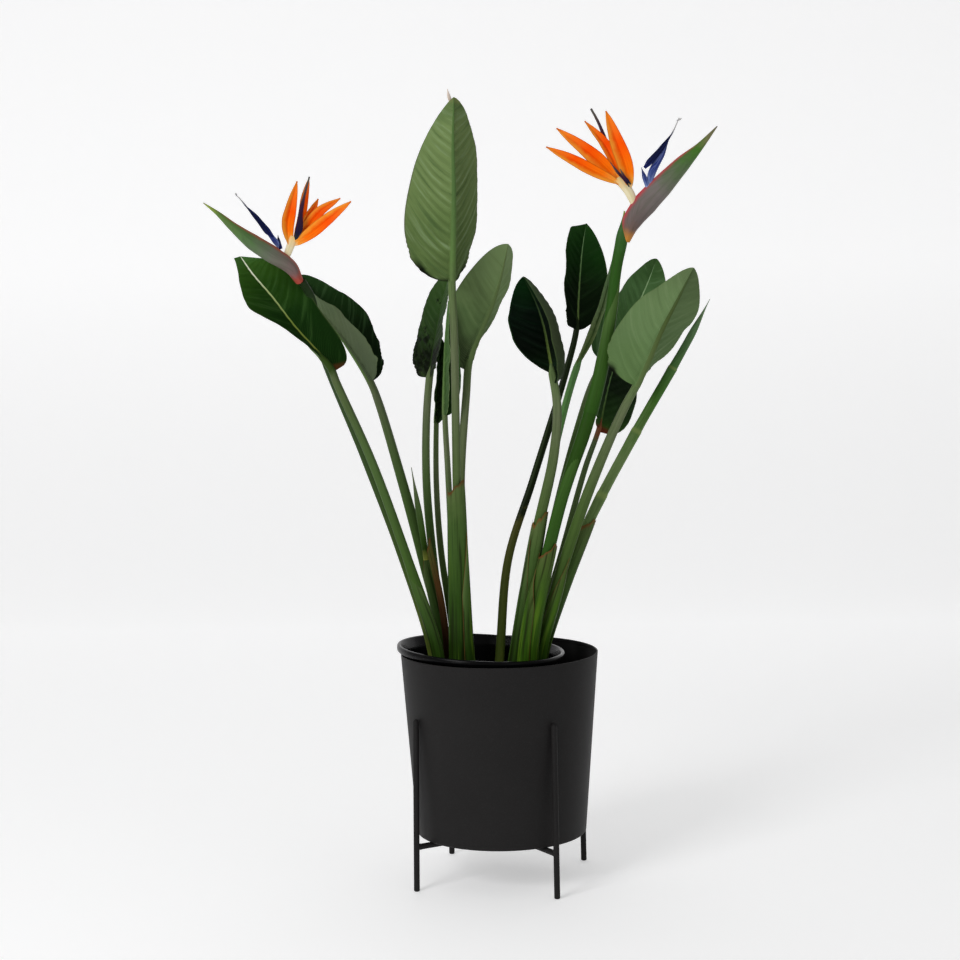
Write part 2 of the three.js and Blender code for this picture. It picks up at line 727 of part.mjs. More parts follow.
addPart(
  "leaf_right_front",
  leafGeometry({
    petiole: [[22, -20, 240], [28, -20, 311], [50, -26, 463], [77, -35, 585], [82, -41, 650]],
    midrib: [[76, -44, 694], [71, -50, 725], [65, -57, 757], [55, -65, 788], [38, -75, 823]],
    halfWidth: [47, 54],
    turn: [0, 0],
    fold: [8, 0],
    curl: [15, 160],
    outline: [[0.85, 0.65], [0.3, 0.6]],
    lobe: [0, 12],
  }),
  FINISHES.darkLeaf,
);

addPart(
  "leaf_right_back",
  leafGeometry({
    petiole: [[-4, 12, 240], [2, 16, 320], [14, 34, 435], [50, 58, 543], [98, 80, 690]],
    midrib: [[114, 88, 750], [117, 95, 790], [120, 100, 826], [124, 105, 863], [130, 110, 898]],
    foot: 7,
    top: 4.2,
    halfWidth: [32, 40],
    turn: [35, 18],
    fold: [25, 25],
    outline: [[0.12, 0.22], [0.6, 0.85]],
    wave: 1.5,
  }),
  FINISHES.darkLeaf,
);

addPart(
  "leaf_right_far",
  leafGeometry({
    petiole: [[34, 26, 240], [44, 34, 320], [79, 60, 487], [114, 88, 610], [138, 110, 676]],
    midrib: [[154, 118, 702], [178, 126, 738], [198, 132, 774], [216, 137, 811], [231, 142, 848]],
    foot: 6,
    halfWidth: [44, 40],
    turn: [10, 10],
    fold: [20, 20],
    outline: [[0.25, 0.6], [0.5, 0.7]],
  }),
  FINISHES.darkLeaf,
);

addPart(
  "leaf_right_outer",
  leafGeometry({
    petiole: [[50, -12, 240], [56, -14, 317], [105, -30, 485], [142, -45, 583], [172, -55, 650]],
    midrib: [[186, -60, 676], [203, -65, 712], [220, -70, 750], [240, -75, 788], [262, -80, 831]],
    halfWidth: [53, 57],
    turn: [222, 172],
    fold: [37, 37],
    outline: [[0.8, 0.8], [0.3, 0.65]],
  }),
  FINISHES.paleLeaf,
);

addPart(
  "leaf_right_low",
  leafGeometry({
    petiole: [[34, 8, 240], [46, 12, 311], [85, 24, 435], [122, 34, 561]],
    midrib: [[142, 42, 615], [149, 46, 646], [157, 50, 678], [168, 54, 712], [182, 58, 750]],
    foot: 5.5,
    top: 3.6,
    halfWidth: [22, 46],
    turn: [40, 40],
    fold: [20, 20],
    outline: [[0.3, 0.6], [0.3, 0.6]],
    lobe: [0, 5],
    wave: 1.5,
  }),
  FINISHES.darkLeaf,
);

addPart(
  "leaf_right_spear",
  spearGeometry({
    path: [[50, 8, 240], [60, 4, 315], [116, -6, 473], [184, -8, 603], [233, -9, 687], [263, -9, 739],
      [290, -10, 790]],
    halfWidths: [8, 8, 7, 7.6, 7.8, 6.8, 0.6],
    steps: 18,
  }),
  FINISHES.stem,
);

addPart(
  "leaf_right_slender",
  leafGeometry({
    petiole: [[14, 32, 240], [24, 36, 320], [52, 48, 450], [79, 54, 578]],
    midrib: [[110, 47, 698], [128, 42, 745], [143, 37, 797], [163, 30, 865]],
    foot: 5.5,
    top: 5,
    halfWidth: [22, 22],
    turn: [20, 20],
    fold: [60, 60],
    wave: 0.6,
  }),
  FINISHES.stem,
);

addPart(
  "sheath_right_front",
  sheathGeometry({
    path: [[23, -20, 272], [28, -20, 311], [42, -24, 410], [58, -28, 500]],
    radius: [13, 9.5],
    flat: 0.8,
    wrap: [-100, 80],
    tear: 10,
  }),
  FINISHES.driedSheath,
);

addPart(
  "sheath_right_outer",
  sheathGeometry({
    path: [[38, -34, 272], [42, -34, 330], [55, -34, 400], [68, -34, 456]],
    radius: [12, 10.5],
    flat: 0.85,
    wrap: [-90, 100],
    tear: 10,
  }),
  FINISHES.driedSheath,
);

addFlower("right", {
  scape: {
    path: [[38, -34, 240], [42, -34, 330], [82, -33, 510], [121, -35, 624], [142, -36, 702], [155, -38, 777],
      [163, -40, 835], [170, -42, 870], [174, -44, 908]],
    halfWidths: [7, 7, 7.5, 9, 9, 7.5, 7.5, 8, 1],
  },
  spathe: {
    path: [[175, -40, 868], [183, -43, 893], [201, -46, 917], [223, -49, 940], [252, -52, 970],
      [272, -55, 989], [296, -58, 1016]],
    halfHeights: [6, 12.5, 15.5, 13.5, 9, 5, 0.6],
    halfThickness: 11,
  },
  neck: { path: [[190, -46, 908], [181, -46, 931], [166, -46, 952]], halfWidths: [4, 6, 7], steps: 4 },
  sepals: [
    {
      path: [[170, -48, 943], [134, -53, 960], [104, -57, 976], [71, -62, 992]],
      halfWidth: 8.5,
      turn: [0, 0],
    },
    {
      path: [[172, -46, 940], [146, -48, 968], [122, -50, 989], [85, -52, 1017]],
      halfWidth: 11,
      turn: [0, 0],
    },
    {
      path: [[172, -46, 940], [158, -43, 978], [147, -39, 998], [123, -36, 1027]],
      halfWidth: 9,
      turn: [20, 20],
    },
    {
      path: [[182, -48, 936], [175, -51, 968], [163, -55, 1000], [150, -58, 1038]],
      halfWidth: 11.5,
      turn: [0, 0],
    },
  ],
  arrow: {
    shaft: {
      path: [[196, -54, 926], [202, -56, 942], [205, -58, 958]],
      halfWidths: [2, 2.2, 2.4],
      steps: 4,
    },
    head: { shaftEnd: [205, -58, 956], tip: [236, -66, 1008], halfWidth: 5 },
  },
  pistil: {
    path: [[167, -41, 948], [160, -41, 973], [150, -38, 1002], [141, -32, 1026], [132, -26, 1044]],
    halfWidths: [2.4, 2.6, 1.6, 1, 0.6],
    steps: 8,
  },
});

addPart("stand", standGeometry(), FINISHES.coatedSteel);
addPart("planter", planterGeometry(), FINISHES.coatedSteel);
addPart("nursery_pot", nurseryPotGeometry(), FINISHES.potPlastic);
addPart("soil", soilGeometry(), FINISHES.soil);

// The origin lies on the floor under the middle of the whole object.
const middle = new THREE.Box3().setFromObject(plant).getCenter(new THREE.Vector3());
plant.position.set(-middle.x, -middle.y, 0);

export default plant;
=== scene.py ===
# A potted bird of paradise: fine leaves, stalks, flowers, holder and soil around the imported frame.
# Lengths are millimetres about the planter's axis, with z = 0 on the floor, and become metres in Piece.build.
import math
import random

import bpy
import numpy as np
from mathutils import Matrix, Vector, noise


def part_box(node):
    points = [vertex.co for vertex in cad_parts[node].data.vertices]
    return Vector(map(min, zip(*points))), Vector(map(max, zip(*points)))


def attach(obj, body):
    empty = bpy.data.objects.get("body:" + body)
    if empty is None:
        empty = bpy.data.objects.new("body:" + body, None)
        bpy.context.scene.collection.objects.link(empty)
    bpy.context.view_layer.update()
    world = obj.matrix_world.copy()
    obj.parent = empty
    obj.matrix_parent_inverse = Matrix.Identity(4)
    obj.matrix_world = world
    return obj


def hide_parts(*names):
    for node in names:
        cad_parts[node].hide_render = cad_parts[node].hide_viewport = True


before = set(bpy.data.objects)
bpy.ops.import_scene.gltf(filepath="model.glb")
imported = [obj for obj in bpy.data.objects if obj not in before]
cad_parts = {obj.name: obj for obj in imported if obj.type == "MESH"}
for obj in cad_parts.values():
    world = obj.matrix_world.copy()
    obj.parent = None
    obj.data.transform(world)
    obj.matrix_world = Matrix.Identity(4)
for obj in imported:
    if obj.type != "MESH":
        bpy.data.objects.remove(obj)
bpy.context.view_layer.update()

MM = 0.001
LOW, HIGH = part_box("planter")
AXIS = np.array([(LOW.x + HIGH.x) / 2, (LOW.y + HIGH.y) / 2, 0.0])
RIM_RADIUS = (HIGH.x - LOW.x) / 2 / MM
RIM_HEIGHT = HIGH.z / MM
BASE_HEIGHT = LOW.z / MM

VIEWER = np.array([0.0, -1.0, 0.0])
UP = np.array([0.0, 0.0, 1.0])
PLACE_UNIT = 100.0
SHARP_DEGREES = 50


# Meshes

class Piece:
    """Collects grids of points into one mesh. Each face has a material slot and, at each corner, two
    coordinates: share runs from 0 to 1 across and along, and place is the same in units of 100 mm."""

    def __init__(self):
        self.points, self.faces, self.slots = [], [], []
        self.share, self.place = [], []
        self.count = 0

    def grid(self, points, share, place, slot=0, wrap=False, flip=False):
        """Adds a grid of points, closed into a ring if wrap is set, and returns its first vertex number."""
        rows, columns = points.shape[:2]
        kept = columns - 1 if wrap else columns
        self.points.append(points[:, :kept].reshape(-1, 3))
        r, c = np.meshgrid(np.arange(rows - 1), np.arange(columns - 1), indexing="ij")
        corners = [(r, c), (r, c + 1), (r + 1, c + 1), (r + 1, c)]
        if flip:
            corners.reverse()
        index = np.stack([a * kept + b % kept for a, b in corners], -1).reshape(-1, 4) + self.count
        self.faces += index.tolist()
        self.slots += [slot] * len(index)
        self.share.append(np.stack([share[a, b] for a, b in corners], 2).reshape(-1, 2))
        self.place.append(np.stack([place[a, b] for a, b in corners], 2).reshape(-1, 2))
        self.count += rows * kept
        return self.count - rows * kept

    def fan(self, ring, share, place, slot):
        """Closes a ring of vertex numbers with one face."""
        self.faces.append(list(ring))
        self.slots.append(slot)
        self.share.append(np.tile(share, (len(ring), 1)))
        self.place.append(np.tile(place, (len(ring), 1)))

    def strip(self, one, other, share, place, slot):
        """Joins two equal runs of vertex numbers with a strip of faces."""
        for i in range(len(one) - 1):
            self.faces.append([one[i], one[i + 1], other[i + 1], other[i]])
            self.slots.append(slot)
            self.share.append(np.stack([share[i], share[i + 1], share[i + 1], share[i]]))
            self.place.append(np.stack([place[i], place[i + 1], place[i + 1], place[i]]))

    def build(self, node, *materials, name=None):
        """Makes the object that stands for a CAD node, and hides the node. It rides on the one body."""
        name = name or f"fine_{node}"
        mesh = bpy.data.meshes.new(name)
        points = np.concatenate(self.points) * MM + AXIS
        mesh.from_pydata(points.tolist(), [], self.faces)
        mesh.polygons.foreach_set("material_index", self.slots)
        for label, parts in (("share", self.share), ("place", self.place)):
            layer = mesh.uv_layers.new(name=label)
            layer.uv.foreach_set("vector", np.concatenate(parts).astype(np.float32).ravel())
        for material in materials:
            mesh.materials.append(material)
        mesh.polygons.foreach_set("use_smooth", [True] * len(mesh.polygons))
        mesh.set_sharp_from_angle(angle=math.radians(SHARP_DEGREES))
        mesh.update()
        piece = bpy.data.objects.new(name, mesh)
        bpy.context.scene.collection.objects.link(piece)
        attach(piece, "root")
        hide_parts(node)


def coordinates(across, along):
    return np.stack(np.broadcast_arrays(across, along), -1).astype(float)


def angles_around(sides):
    return np.linspace(0, 2 * np.pi, sides, endpoint=False)


def circle(sides):
    around = angles_around(sides)
    return np.stack([np.cos(around), np.sin(around), np.zeros(sides)], -1)


# Growth: paths, stalks and blades

def unit(vector):
    return vector / np.linalg.norm(vector)


def mix(a, b, t):
    return a + (b - a) * t


def smooth(a, b, x):
    t = np.clip((x - a) / (b - a), 0, 1)
    return t * t * (3 - 2 * t)


def hump(x, centre, width):
    return np.exp(-(((x - centre) / width) ** 2))


def turned_away(angles, angle):
    """How far angles lie from an angle, from minus pi to pi."""
    return (angles - angle + np.pi) % (2 * np.pi) - np.pi


TANGENT_STEP = 1e-4
LENGTH_STEPS = 24


class Path:
    """A centripetal Catmull-Rom curve through points, with t from 0 to 1 spread evenly over its spans."""

    def __init__(self, points):
        self.points = np.array(points, float)

    def at(self, t):
        points = self.points
        last = len(points) - 1
        span = min(int(t * last), last - 1)
        weight = t * last - span
        p1 = points[span]
        p2 = points[span + 1]
        p0 = points[span - 1] if span > 0 else 2 * p1 - p2
        p3 = points[span + 2] if span + 2 <= last else 2 * p2 - p1
        d0, d1, d2 = (np.linalg.norm(b - a) ** 0.5 for a, b in ((p0, p1), (p1, p2), (p2, p3)))
        leave = ((p1 - p0) / d0 - (p2 - p0) / (d0 + d1) + (p2 - p1) / d1) * d1
        arrive = ((p2 - p1) / d1 - (p3 - p1) / (d1 + d2) + (p3 - p2) / d2) * d1
        bend = -3 * p1 + 3 * p2 - 2 * leave - arrive
        twist = 2 * p1 - 2 * p2 + leave + arrive
        return p1 + weight * (leave + weight * (bend + weight * twist))

    def frame(self, t):
        """The place, the direction along, the direction to the viewer and the one to the viewer's right."""
        along = unit(self.at(min(t + TANGENT_STEP, 1)) - self.at(max(t - TANGENT_STEP, 0)))
        front = unit(VIEWER - along * VIEWER.dot(along))
        return self.at(t), along, front, np.cross(along, front)

    def length(self, start=0.0, end=1.0):
        places = np.array([self.at(t) for t in np.linspace(start, end, LENGTH_STEPS)])
        return np.linalg.norm(np.diff(places, axis=0), axis=1).sum()

    def ring(self, t, wide, deep, around):
        """An oval across the path, with its half width and half depth, which may vary around it."""
        at, _, front, right = self.frame(t)
        return at + front * (deep * np.cos(around))[:, None] + right * (wide * np.sin(around))[:, None]


def aim(front, right, angle):
    """Directions across a path: angle 0 points to the viewer, and a right angle to the viewer's right."""
    angle = np.asarray(angle, float)[..., None]
    return front * np.cos(angle) + right * np.sin(angle)


def ripple(x, y, seed):
    """A smooth uneven wave over a surface, between about -1 and 1."""
    rng = random.Random(seed)
    total = 0
    for octave in range(4):
        a, b, phase = rng.uniform(0.6, 1.4), rng.uniform(-1, 1), rng.uniform(0, 6.28)
        total = total + np.sin((a * x + b * y) * 1.9 ** octave + phase) / 1.6 ** octave
    return total / 2


RING_SIDES = 24


def tube(piece, rings, share, along_mm, slot=0):
    """Adds a closed tube through rings that share one count of sides, with a run of shares along it."""
    closed = np.concatenate([rings, rings[:, :1]], 1)
    sides = rings.shape[1]
    around = np.linspace(0, 1, sides + 1)
    girth = np.linalg.norm(np.diff(closed, axis=1), axis=2).sum(1)[:, None]
    shares = coordinates(around[None, :], np.asarray(share)[:, None])
    places = coordinates(around[None, :] * girth / PLACE_UNIT, np.asarray(along_mm)[:, None] / PLACE_UNIT)
    first = piece.grid(closed, shares, places, slot, wrap=True)
    last = first + (len(rings) - 1) * sides
    piece.fan(range(first + sides - 1, first - 1, -1), shares[0, 0], places[0, 0], slot)
    piece.fan(range(last, last + sides), shares[-1, 0], places[-1, 0], slot)


def slab(piece, *grids, slots=(0, 1)):
    """Adds a closed thin sheet between a top and a bottom grid, with its own material on each face."""
    top, bottom, share, place = (np.array(grid) for grid in grids)
    rows, columns = top.shape[:2]
    upper = piece.grid(top, share, place, slots[0])
    lower = piece.grid(bottom, share, place, slots[1], flip=True)
    r = np.arange(rows) * columns
    c = np.arange(columns)
    last = (rows - 1) * columns
    edges = (
        (r[::-1], share[::-1, 0], place[::-1, 0]),
        (r + columns - 1, share[:, -1], place[:, -1]),
        (c, share[0], place[0]),
        ((c + last)[::-1], share[-1, ::-1], place[-1, ::-1]),
    )
    for run, run_share, run_place in edges:
        piece.strip((lower + run).tolist(), (upper + run).tolist(), run_share, run_place, slots[0])


def blade_shape(outline, s):
    """The half width at s as a share of the widest. Two numbers say how full the base is and how fine the
    tip, and more of them are the shares themselves, evenly spaced from base to tip."""
    if len(outline) > 2:
        last = len(outline) - 1
        i = min(int(s * last), last - 1)
        a, b, c, d = (outline[min(max(j, 0), last)] for j in (i - 1, i, i + 1, i + 2))
        w = s * last - i
        return b + w * ((c - a) / 2 + w * (a - 2.5 * b + 2 * c - d / 2 + w * (1.5 * (b - c) + (d - a) / 2)))
    base, point = outline
    widest = base / (base + point)
    return (s / widest) ** base * ((1 - s) / (1 - widest)) ** point


PLEAT_SPACING = 13.0
VEIN_RISE = (0.45, 1.1)
FLAT_CURL = 1e-6
GROOVE_DEPTH = 0.35
GROOVE_WIDTH = 1.6


def blade_sheet(piece, path, start, *, half_width, turn, rib, seed, fold=(20, 20), curl=(0, 0),
                outline=((0.58, 0.8), (0.58, 0.8)), lobe=(0, 0), blunt=(0, 0), slant=(0, 0), thickness=0.9,
                wave=2.5, waves=2.5, pleat=0.5, crinkle=0.6, ragged=0.0, rows=150, columns=24, slots=(0, 1)):
    """Adds a blade: a thin sheet folded along its midrib, with pleats between the veins and an uneven margin.
    turn holds the angles that its upper side faces at its base and tip. The other pairs hold a value for
    each half: how far it folds up and curls in, its outline, how far its foot hangs down (lobe), the least
    width of its tip (blunt) and how far that tip slopes back (slant)."""
    # Columns crowd towards the midrib, and rows towards both ends.
    half = (np.arange(columns + 1) / columns) ** 1.5
    across = np.concatenate([-half[:0:-1], half])
    length = path.length(start, 1)
    steps = np.linspace(0, 1, rows + 1)
    top, bottom, share, place = [], [], [], []
    for s in 0.5 * steps + 0.25 * (1 - np.cos(np.pi * steps)):
        at, along, front, right = path.frame(mix(start, 1, s))
        facing = math.radians(mix(turn[0], turn[1], s))
        swell = math.sin(math.pi * s)
        low = 1 + 3 * (1 - smooth(0.0, 0.22, s))
        row, upper, reaches = [], [], []
        for pick, side in enumerate((-1, 1)):
            u = half if side > 0 else half[:0:-1]
            bow = math.radians(curl[pick]) + FLAT_CURL
            shape = half_width[pick] * blade_shape(outline[pick], s)
            end = blunt[pick] * float(smooth(0.8, 0.96, s))
            torn = 1 + ragged * ripple(s * 40, side, seed) * float(1 - smooth(0.02, 0.35, s))
            reach = max(shape * torn, end, thickness)
            bend = facing + side * (math.pi / 2 - math.radians(fold[pick]))
            angle = bend - side * bow * u
            to_front = side * reach * (math.sin(bend) - np.sin(angle)) / bow
            to_right = side * reach * (np.cos(angle) - math.cos(bend)) / bow
            normal = aim(front, right, np.where(u == 0, facing, angle - side * math.pi / 2))
            x = u * reach / PLACE_UNIT
            vein = s * length - (VEIN_RISE[0] * x + VEIN_RISE[1] * x * x) * PLACE_UNIT
            lift = wave * swell * math.sin(2 * math.pi * waves * s + side) * u * u
            crease = np.sin(np.pi * u ** 0.6) * np.sin(2 * np.pi * vein / PLEAT_SPACING)
            lift = lift + pleat * swell ** 0.5 * crease
            uneven = ripple(s * 22, u * 3 + side, seed + 7) * min(1, 12 * s)
            lift = lift + crinkle * low * u ** 3 * uneven
            back = lobe[pick] * (1 - s) ** 3 + slant[pick] * s ** 8
            sheet = front * to_front[:, None] + right * to_right[:, None] + normal * lift[:, None]
            row.append(at + sheet - along * (back * u)[:, None])
            upper.append(normal)
            reaches.append(u * reach)
        row, upper, away = (np.concatenate(parts) for parts in (row, upper, reaches))
        ridge_size = min(rib * (1 - s) ** 0.7, 0.5 * shape)
        thin = thickness / 2 * (1 - 0.6 * np.abs(across) ** 8)
        ridge = ridge_size * np.sqrt(np.clip(1 - (away / (ridge_size * 0.9 + 0.01)) ** 2, 0, 1))
        groove = GROOVE_DEPTH * min(1, ridge_size) * hump(away, 0, GROOVE_WIDTH)
        top.append(row + upper * (thin - groove)[:, None])
        bottom.append(row - upper * (thin + ridge)[:, None])
        share.append(coordinates(0.5 + 0.5 * across, s))
        place.append(coordinates(np.sign(across) * away / PLACE_UNIT, s * length / PLACE_UNIT))
    slab(piece, top, bottom, share, place, slots=slots)


STALK_RINGS = 56
CHANNEL_DEPTH = 0.3
INTO_BLADE = 0.12
END_SIZE = 0.45
STALK_SLOT = 2
SHOOT_SLOT = 3


def stalk_tube(piece, path, share_of_path, foot, flat, top, turn):
    """Adds a petiole: wide and sheathing below, round above, with a channel on its upper side. Its end runs
    on into the blade, thinner and a little behind the midrib."""
    length = path.length(0, share_of_path)
    around = angles_around(RING_SIDES)
    upper = math.radians(turn)
    rings = []
    times = np.linspace(0, 1, STALK_RINGS)
    for t in times:
        spread = (1 - t) ** 1.2
        channel = 1 - CHANNEL_DEPTH * float(smooth(0.3, 0.9, t)) * hump(turned_away(around, upper), 0, 0.5)
        wide = mix(top, foot, spread) * channel
        deep = mix(top, foot * flat, spread) * channel
        rings.append(path.ring(share_of_path * t, wide, deep, around))
    end = mix(share_of_path, 1, INTO_BLADE)
    for part in (0.35, 0.7, 1):
        t = mix(share_of_path, end, part)
        size = top * mix(1, END_SIZE, part)
        behind = aim(*path.frame(t)[2:], upper) * (top * END_SIZE * part)
        rings.append(path.ring(t, size, size, around) - behind)
    share = [*times, 1, 1, 1]
    tube(piece, np.array(rings), share, np.array(share) * length, STALK_SLOT)


COLLAR_STEP = 0.09
COLLAR_BEAD = 0.05
COLLAR_WIDTH = 0.02
WRAP_RIDGE = 0.08


def spear_tube(piece, points, half_widths, flat=0.8, steps=40, sides=RING_SIDES, slot=0, collars=(),
               twist=0.0):
    """Adds a pointed stalk with a half width for each step of its path, and a step down at each collar."""
    path = Path(points)
    last = len(half_widths) - 1
    around = angles_around(sides)
    times = sorted({*np.linspace(0, 1, steps), *(c + d for c in collars for d in (-0.012, 0.0, 0.004))})
    rings = []
    for t in times:
        i = min(int(t * last), last - 1)
        size = mix(half_widths[i], half_widths[i + 1], float(smooth(0, 1, t * last - i)))
        for collar in collars:
            size *= 1 - COLLAR_STEP * float(t > collar) + COLLAR_BEAD * hump(t, collar, COLLAR_WIDTH)
        wrap = 1 + WRAP_RIDGE * hump(turned_away(around, 1.1 + twist * t), 0, 0.25)
        rings.append(path.ring(t, size * wrap, size * flat * wrap, around))
    tube(piece, np.array(rings), times, np.array(times) * path.length(), slot)


def sheath_sheet(piece, points, radius, wrap, flat=0.7, tear=0, seed=0, tip=None, thickness=1.2, lift=0.0,
                 start=0.0, end=1.0, rows=48, columns=28, slots=(0, 0)):
    """Adds a curved plate that wraps a stalk. Its top edge is torn, or drawn out to a point at the angle
    tip."""
    path = Path(points)
    degrees_across = np.linspace(wrap[0], wrap[1], columns + 1)
    angle = np.radians(degrees_across)
    across = np.linspace(0, 1, columns + 1)
    length = path.length(start, end)
    top_here = np.ones(columns + 1)
    if tip is not None:
        away = np.abs(degrees_across - tip) / max(abs(wrap[0] - tip), abs(wrap[1] - tip))
        top_here = 1 - 0.42 * away ** 0.7
    edge = 1 - 0.55 * np.abs(2 * across - 1) ** 6
    uneven = 0.35 * tear * np.array([float(ripple(a * 6, 0.0, seed)) for a in angle])
    outer, inner, share, place = [], [], [], []
    for step in np.linspace(0, 1, rows + 1):
        reach = mix(radius[0], radius[1], step) + lift
        skins = thickness * edge * (1 - 0.6 * step ** 12)
        torn = tear * step ** 6 * np.sin(1.5 * angle) + uneven * step ** 10
        rows_here = [[], []]
        for j, a in enumerate(angle):
            at, along, front, right = path.frame(mix(start, end, step * top_here[j]))
            for row, skin in zip(rows_here, (skins[j], 0)):
                out = front * ((reach * flat + skin) * math.cos(a)) + right * ((reach + skin) * math.sin(a))
                row.append(at + out + along * torn[j])
        outer.append(rows_here[0])
        inner.append(rows_here[1])
        share.append(coordinates(across, step))
        place.append(coordinates(angle * radius[0] / PLACE_UNIT, step * length / PLACE_UNIT))
    slab(piece, outer, inner, share, place, slots=slots)


# Materials

def rgb(code):
    """A linear colour from a web colour such as #5a7a4a."""
    parts = [int(code[i:i + 2], 16) / 255 for i in (1, 3, 5)]
    return tuple(p / 12.92 if p <= 0.04045 else ((p + 0.055) / 1.055) ** 2.4 for p in parts) + (1.0,)


class Field:
    """A value that varies over a surface. Arithmetic on it adds math nodes to its shader."""

    def __init__(self, shader, socket):
        self.shader = shader
        self.socket = socket

    def __add__(self, other):
        return self.shader.math("ADD", self, other)

    def __sub__(self, other):
        return self.shader.math("SUBTRACT", self, other)

    def __rsub__(self, other):
        return self.shader.math("SUBTRACT", other, self)

    def __mul__(self, other):
        return self.shader.math("MULTIPLY", self, other)

    def __truediv__(self, other):
        return self.shader.math("DIVIDE", self, other)

    def __abs__(self):
        return self.shader.math("ABSOLUTE", self)

    __radd__ = __add__
    __rmul__ = __mul__


class Shader:
    """A node material, with short ways to add the nodes that the surfaces here need."""

    def __init__(self, name, gloss, rough=0.5):
        self.material = bpy.data.materials.new(name)
        self.material.use_nodes = True
        self.tree = self.material.node_tree
        self.surface = self.tree.nodes["Principled BSDF"]
        self.surface.inputs["Roughness"].default_value = rough
        self.surface.inputs["Specular IOR Level"].default_value = gloss
        self.colour = None

    def feed(self, socket, value):
        if isinstance(value, Field):
            self.tree.links.new(value.socket, socket)
        else:
            socket.default_value = rgb(value) if isinstance(value, str) else value

    def add(self, kind, settings=None, **inputs):
        node = self.tree.nodes.new("ShaderNode" + kind)
        for key, value in (settings or {}).items():
            setattr(node, key, value)
        for key, value in inputs.items():
            self.feed(node.inputs[key.replace("_", " ")], value)
        return [Field(self, socket) for socket in node.outputs]

    def math(self, operation, *values):
        result, = self.add("Math", {"operation": operation})
        for socket, value in zip(result.socket.node.inputs, values):
            self.feed(socket, value)
        return result

    def rise(self, value, low, high):
        """0 below low and 1 above high, with a smooth rise."""
        return self.add("MapRange", {"interpolation_type": "SMOOTHSTEP"}, Value=value, From_Min=low,
                        From_Max=high)[0]

    def fall(self, value, low, high):
        return 1.0 - self.rise(value, low, high)

    def map(self, label):
        """The two coordinates of a UV map, share or place."""
        return self.split(self.add("UVMap", {"uv_map": label})[0])[:2]

    def split(self, vector):
        return self.add("SeparateXYZ", Vector=vector)

    def here(self):
        """The place in the object's own frame."""
        return next(field for field in self.add("TexCoord") if field.socket.name == "Object")

    def noise(self, where, scale, detail=3.0, roughness=0.55, distortion=0.0):
        if isinstance(where, tuple):
            where, = self.add("CombineXYZ", **dict(zip("XYZ", where)))
        return self.add("TexNoise", Vector=where, Scale=scale, Detail=detail, Roughness=roughness,
                        Distortion=distortion)[0]

    def ramp(self, value, stops):
        """A run of colours, from text such as 0 #8b8f3c, 0.5 #26400a."""
        result = self.add("ValToRGB", Fac=value)[0]
        elements = result.socket.node.color_ramp.elements
        stops = [stop.split() for stop in stops.split(", ")]
        while len(elements) < len(stops):
            elements.new(0.5)
        for element, (place, colour) in zip(elements, stops):
            element.position = float(place)
            element.color = rgb(colour)
        return result

    def paint(self, colour, share, mode="MIX"):
        """Lays a colour over the surface's colour so far, as much of it as share says."""
        mixed = self.add("Mix", {"data_type": "RGBA", "blend_type": mode})[2]
        for index, value in ((0, share), (6, self.colour), (7, colour)):
            self.feed(mixed.socket.node.inputs[index], value)
        self.colour = mixed

    def finish(self, height, distance, strength, roughness=None):
        bump = self.add("Bump", Height=height, Distance=distance, Strength=strength)[0]
        self.feed(self.surface.inputs["Normal"], bump)
        self.feed(self.surface.inputs["Base Color"], self.colour)
        if roughness is not None:
            self.feed(self.surface.inputs["Roughness"], roughness)
        return self.material


THREAD_SPACING = 2.1
SCORCHED = "#10160b"


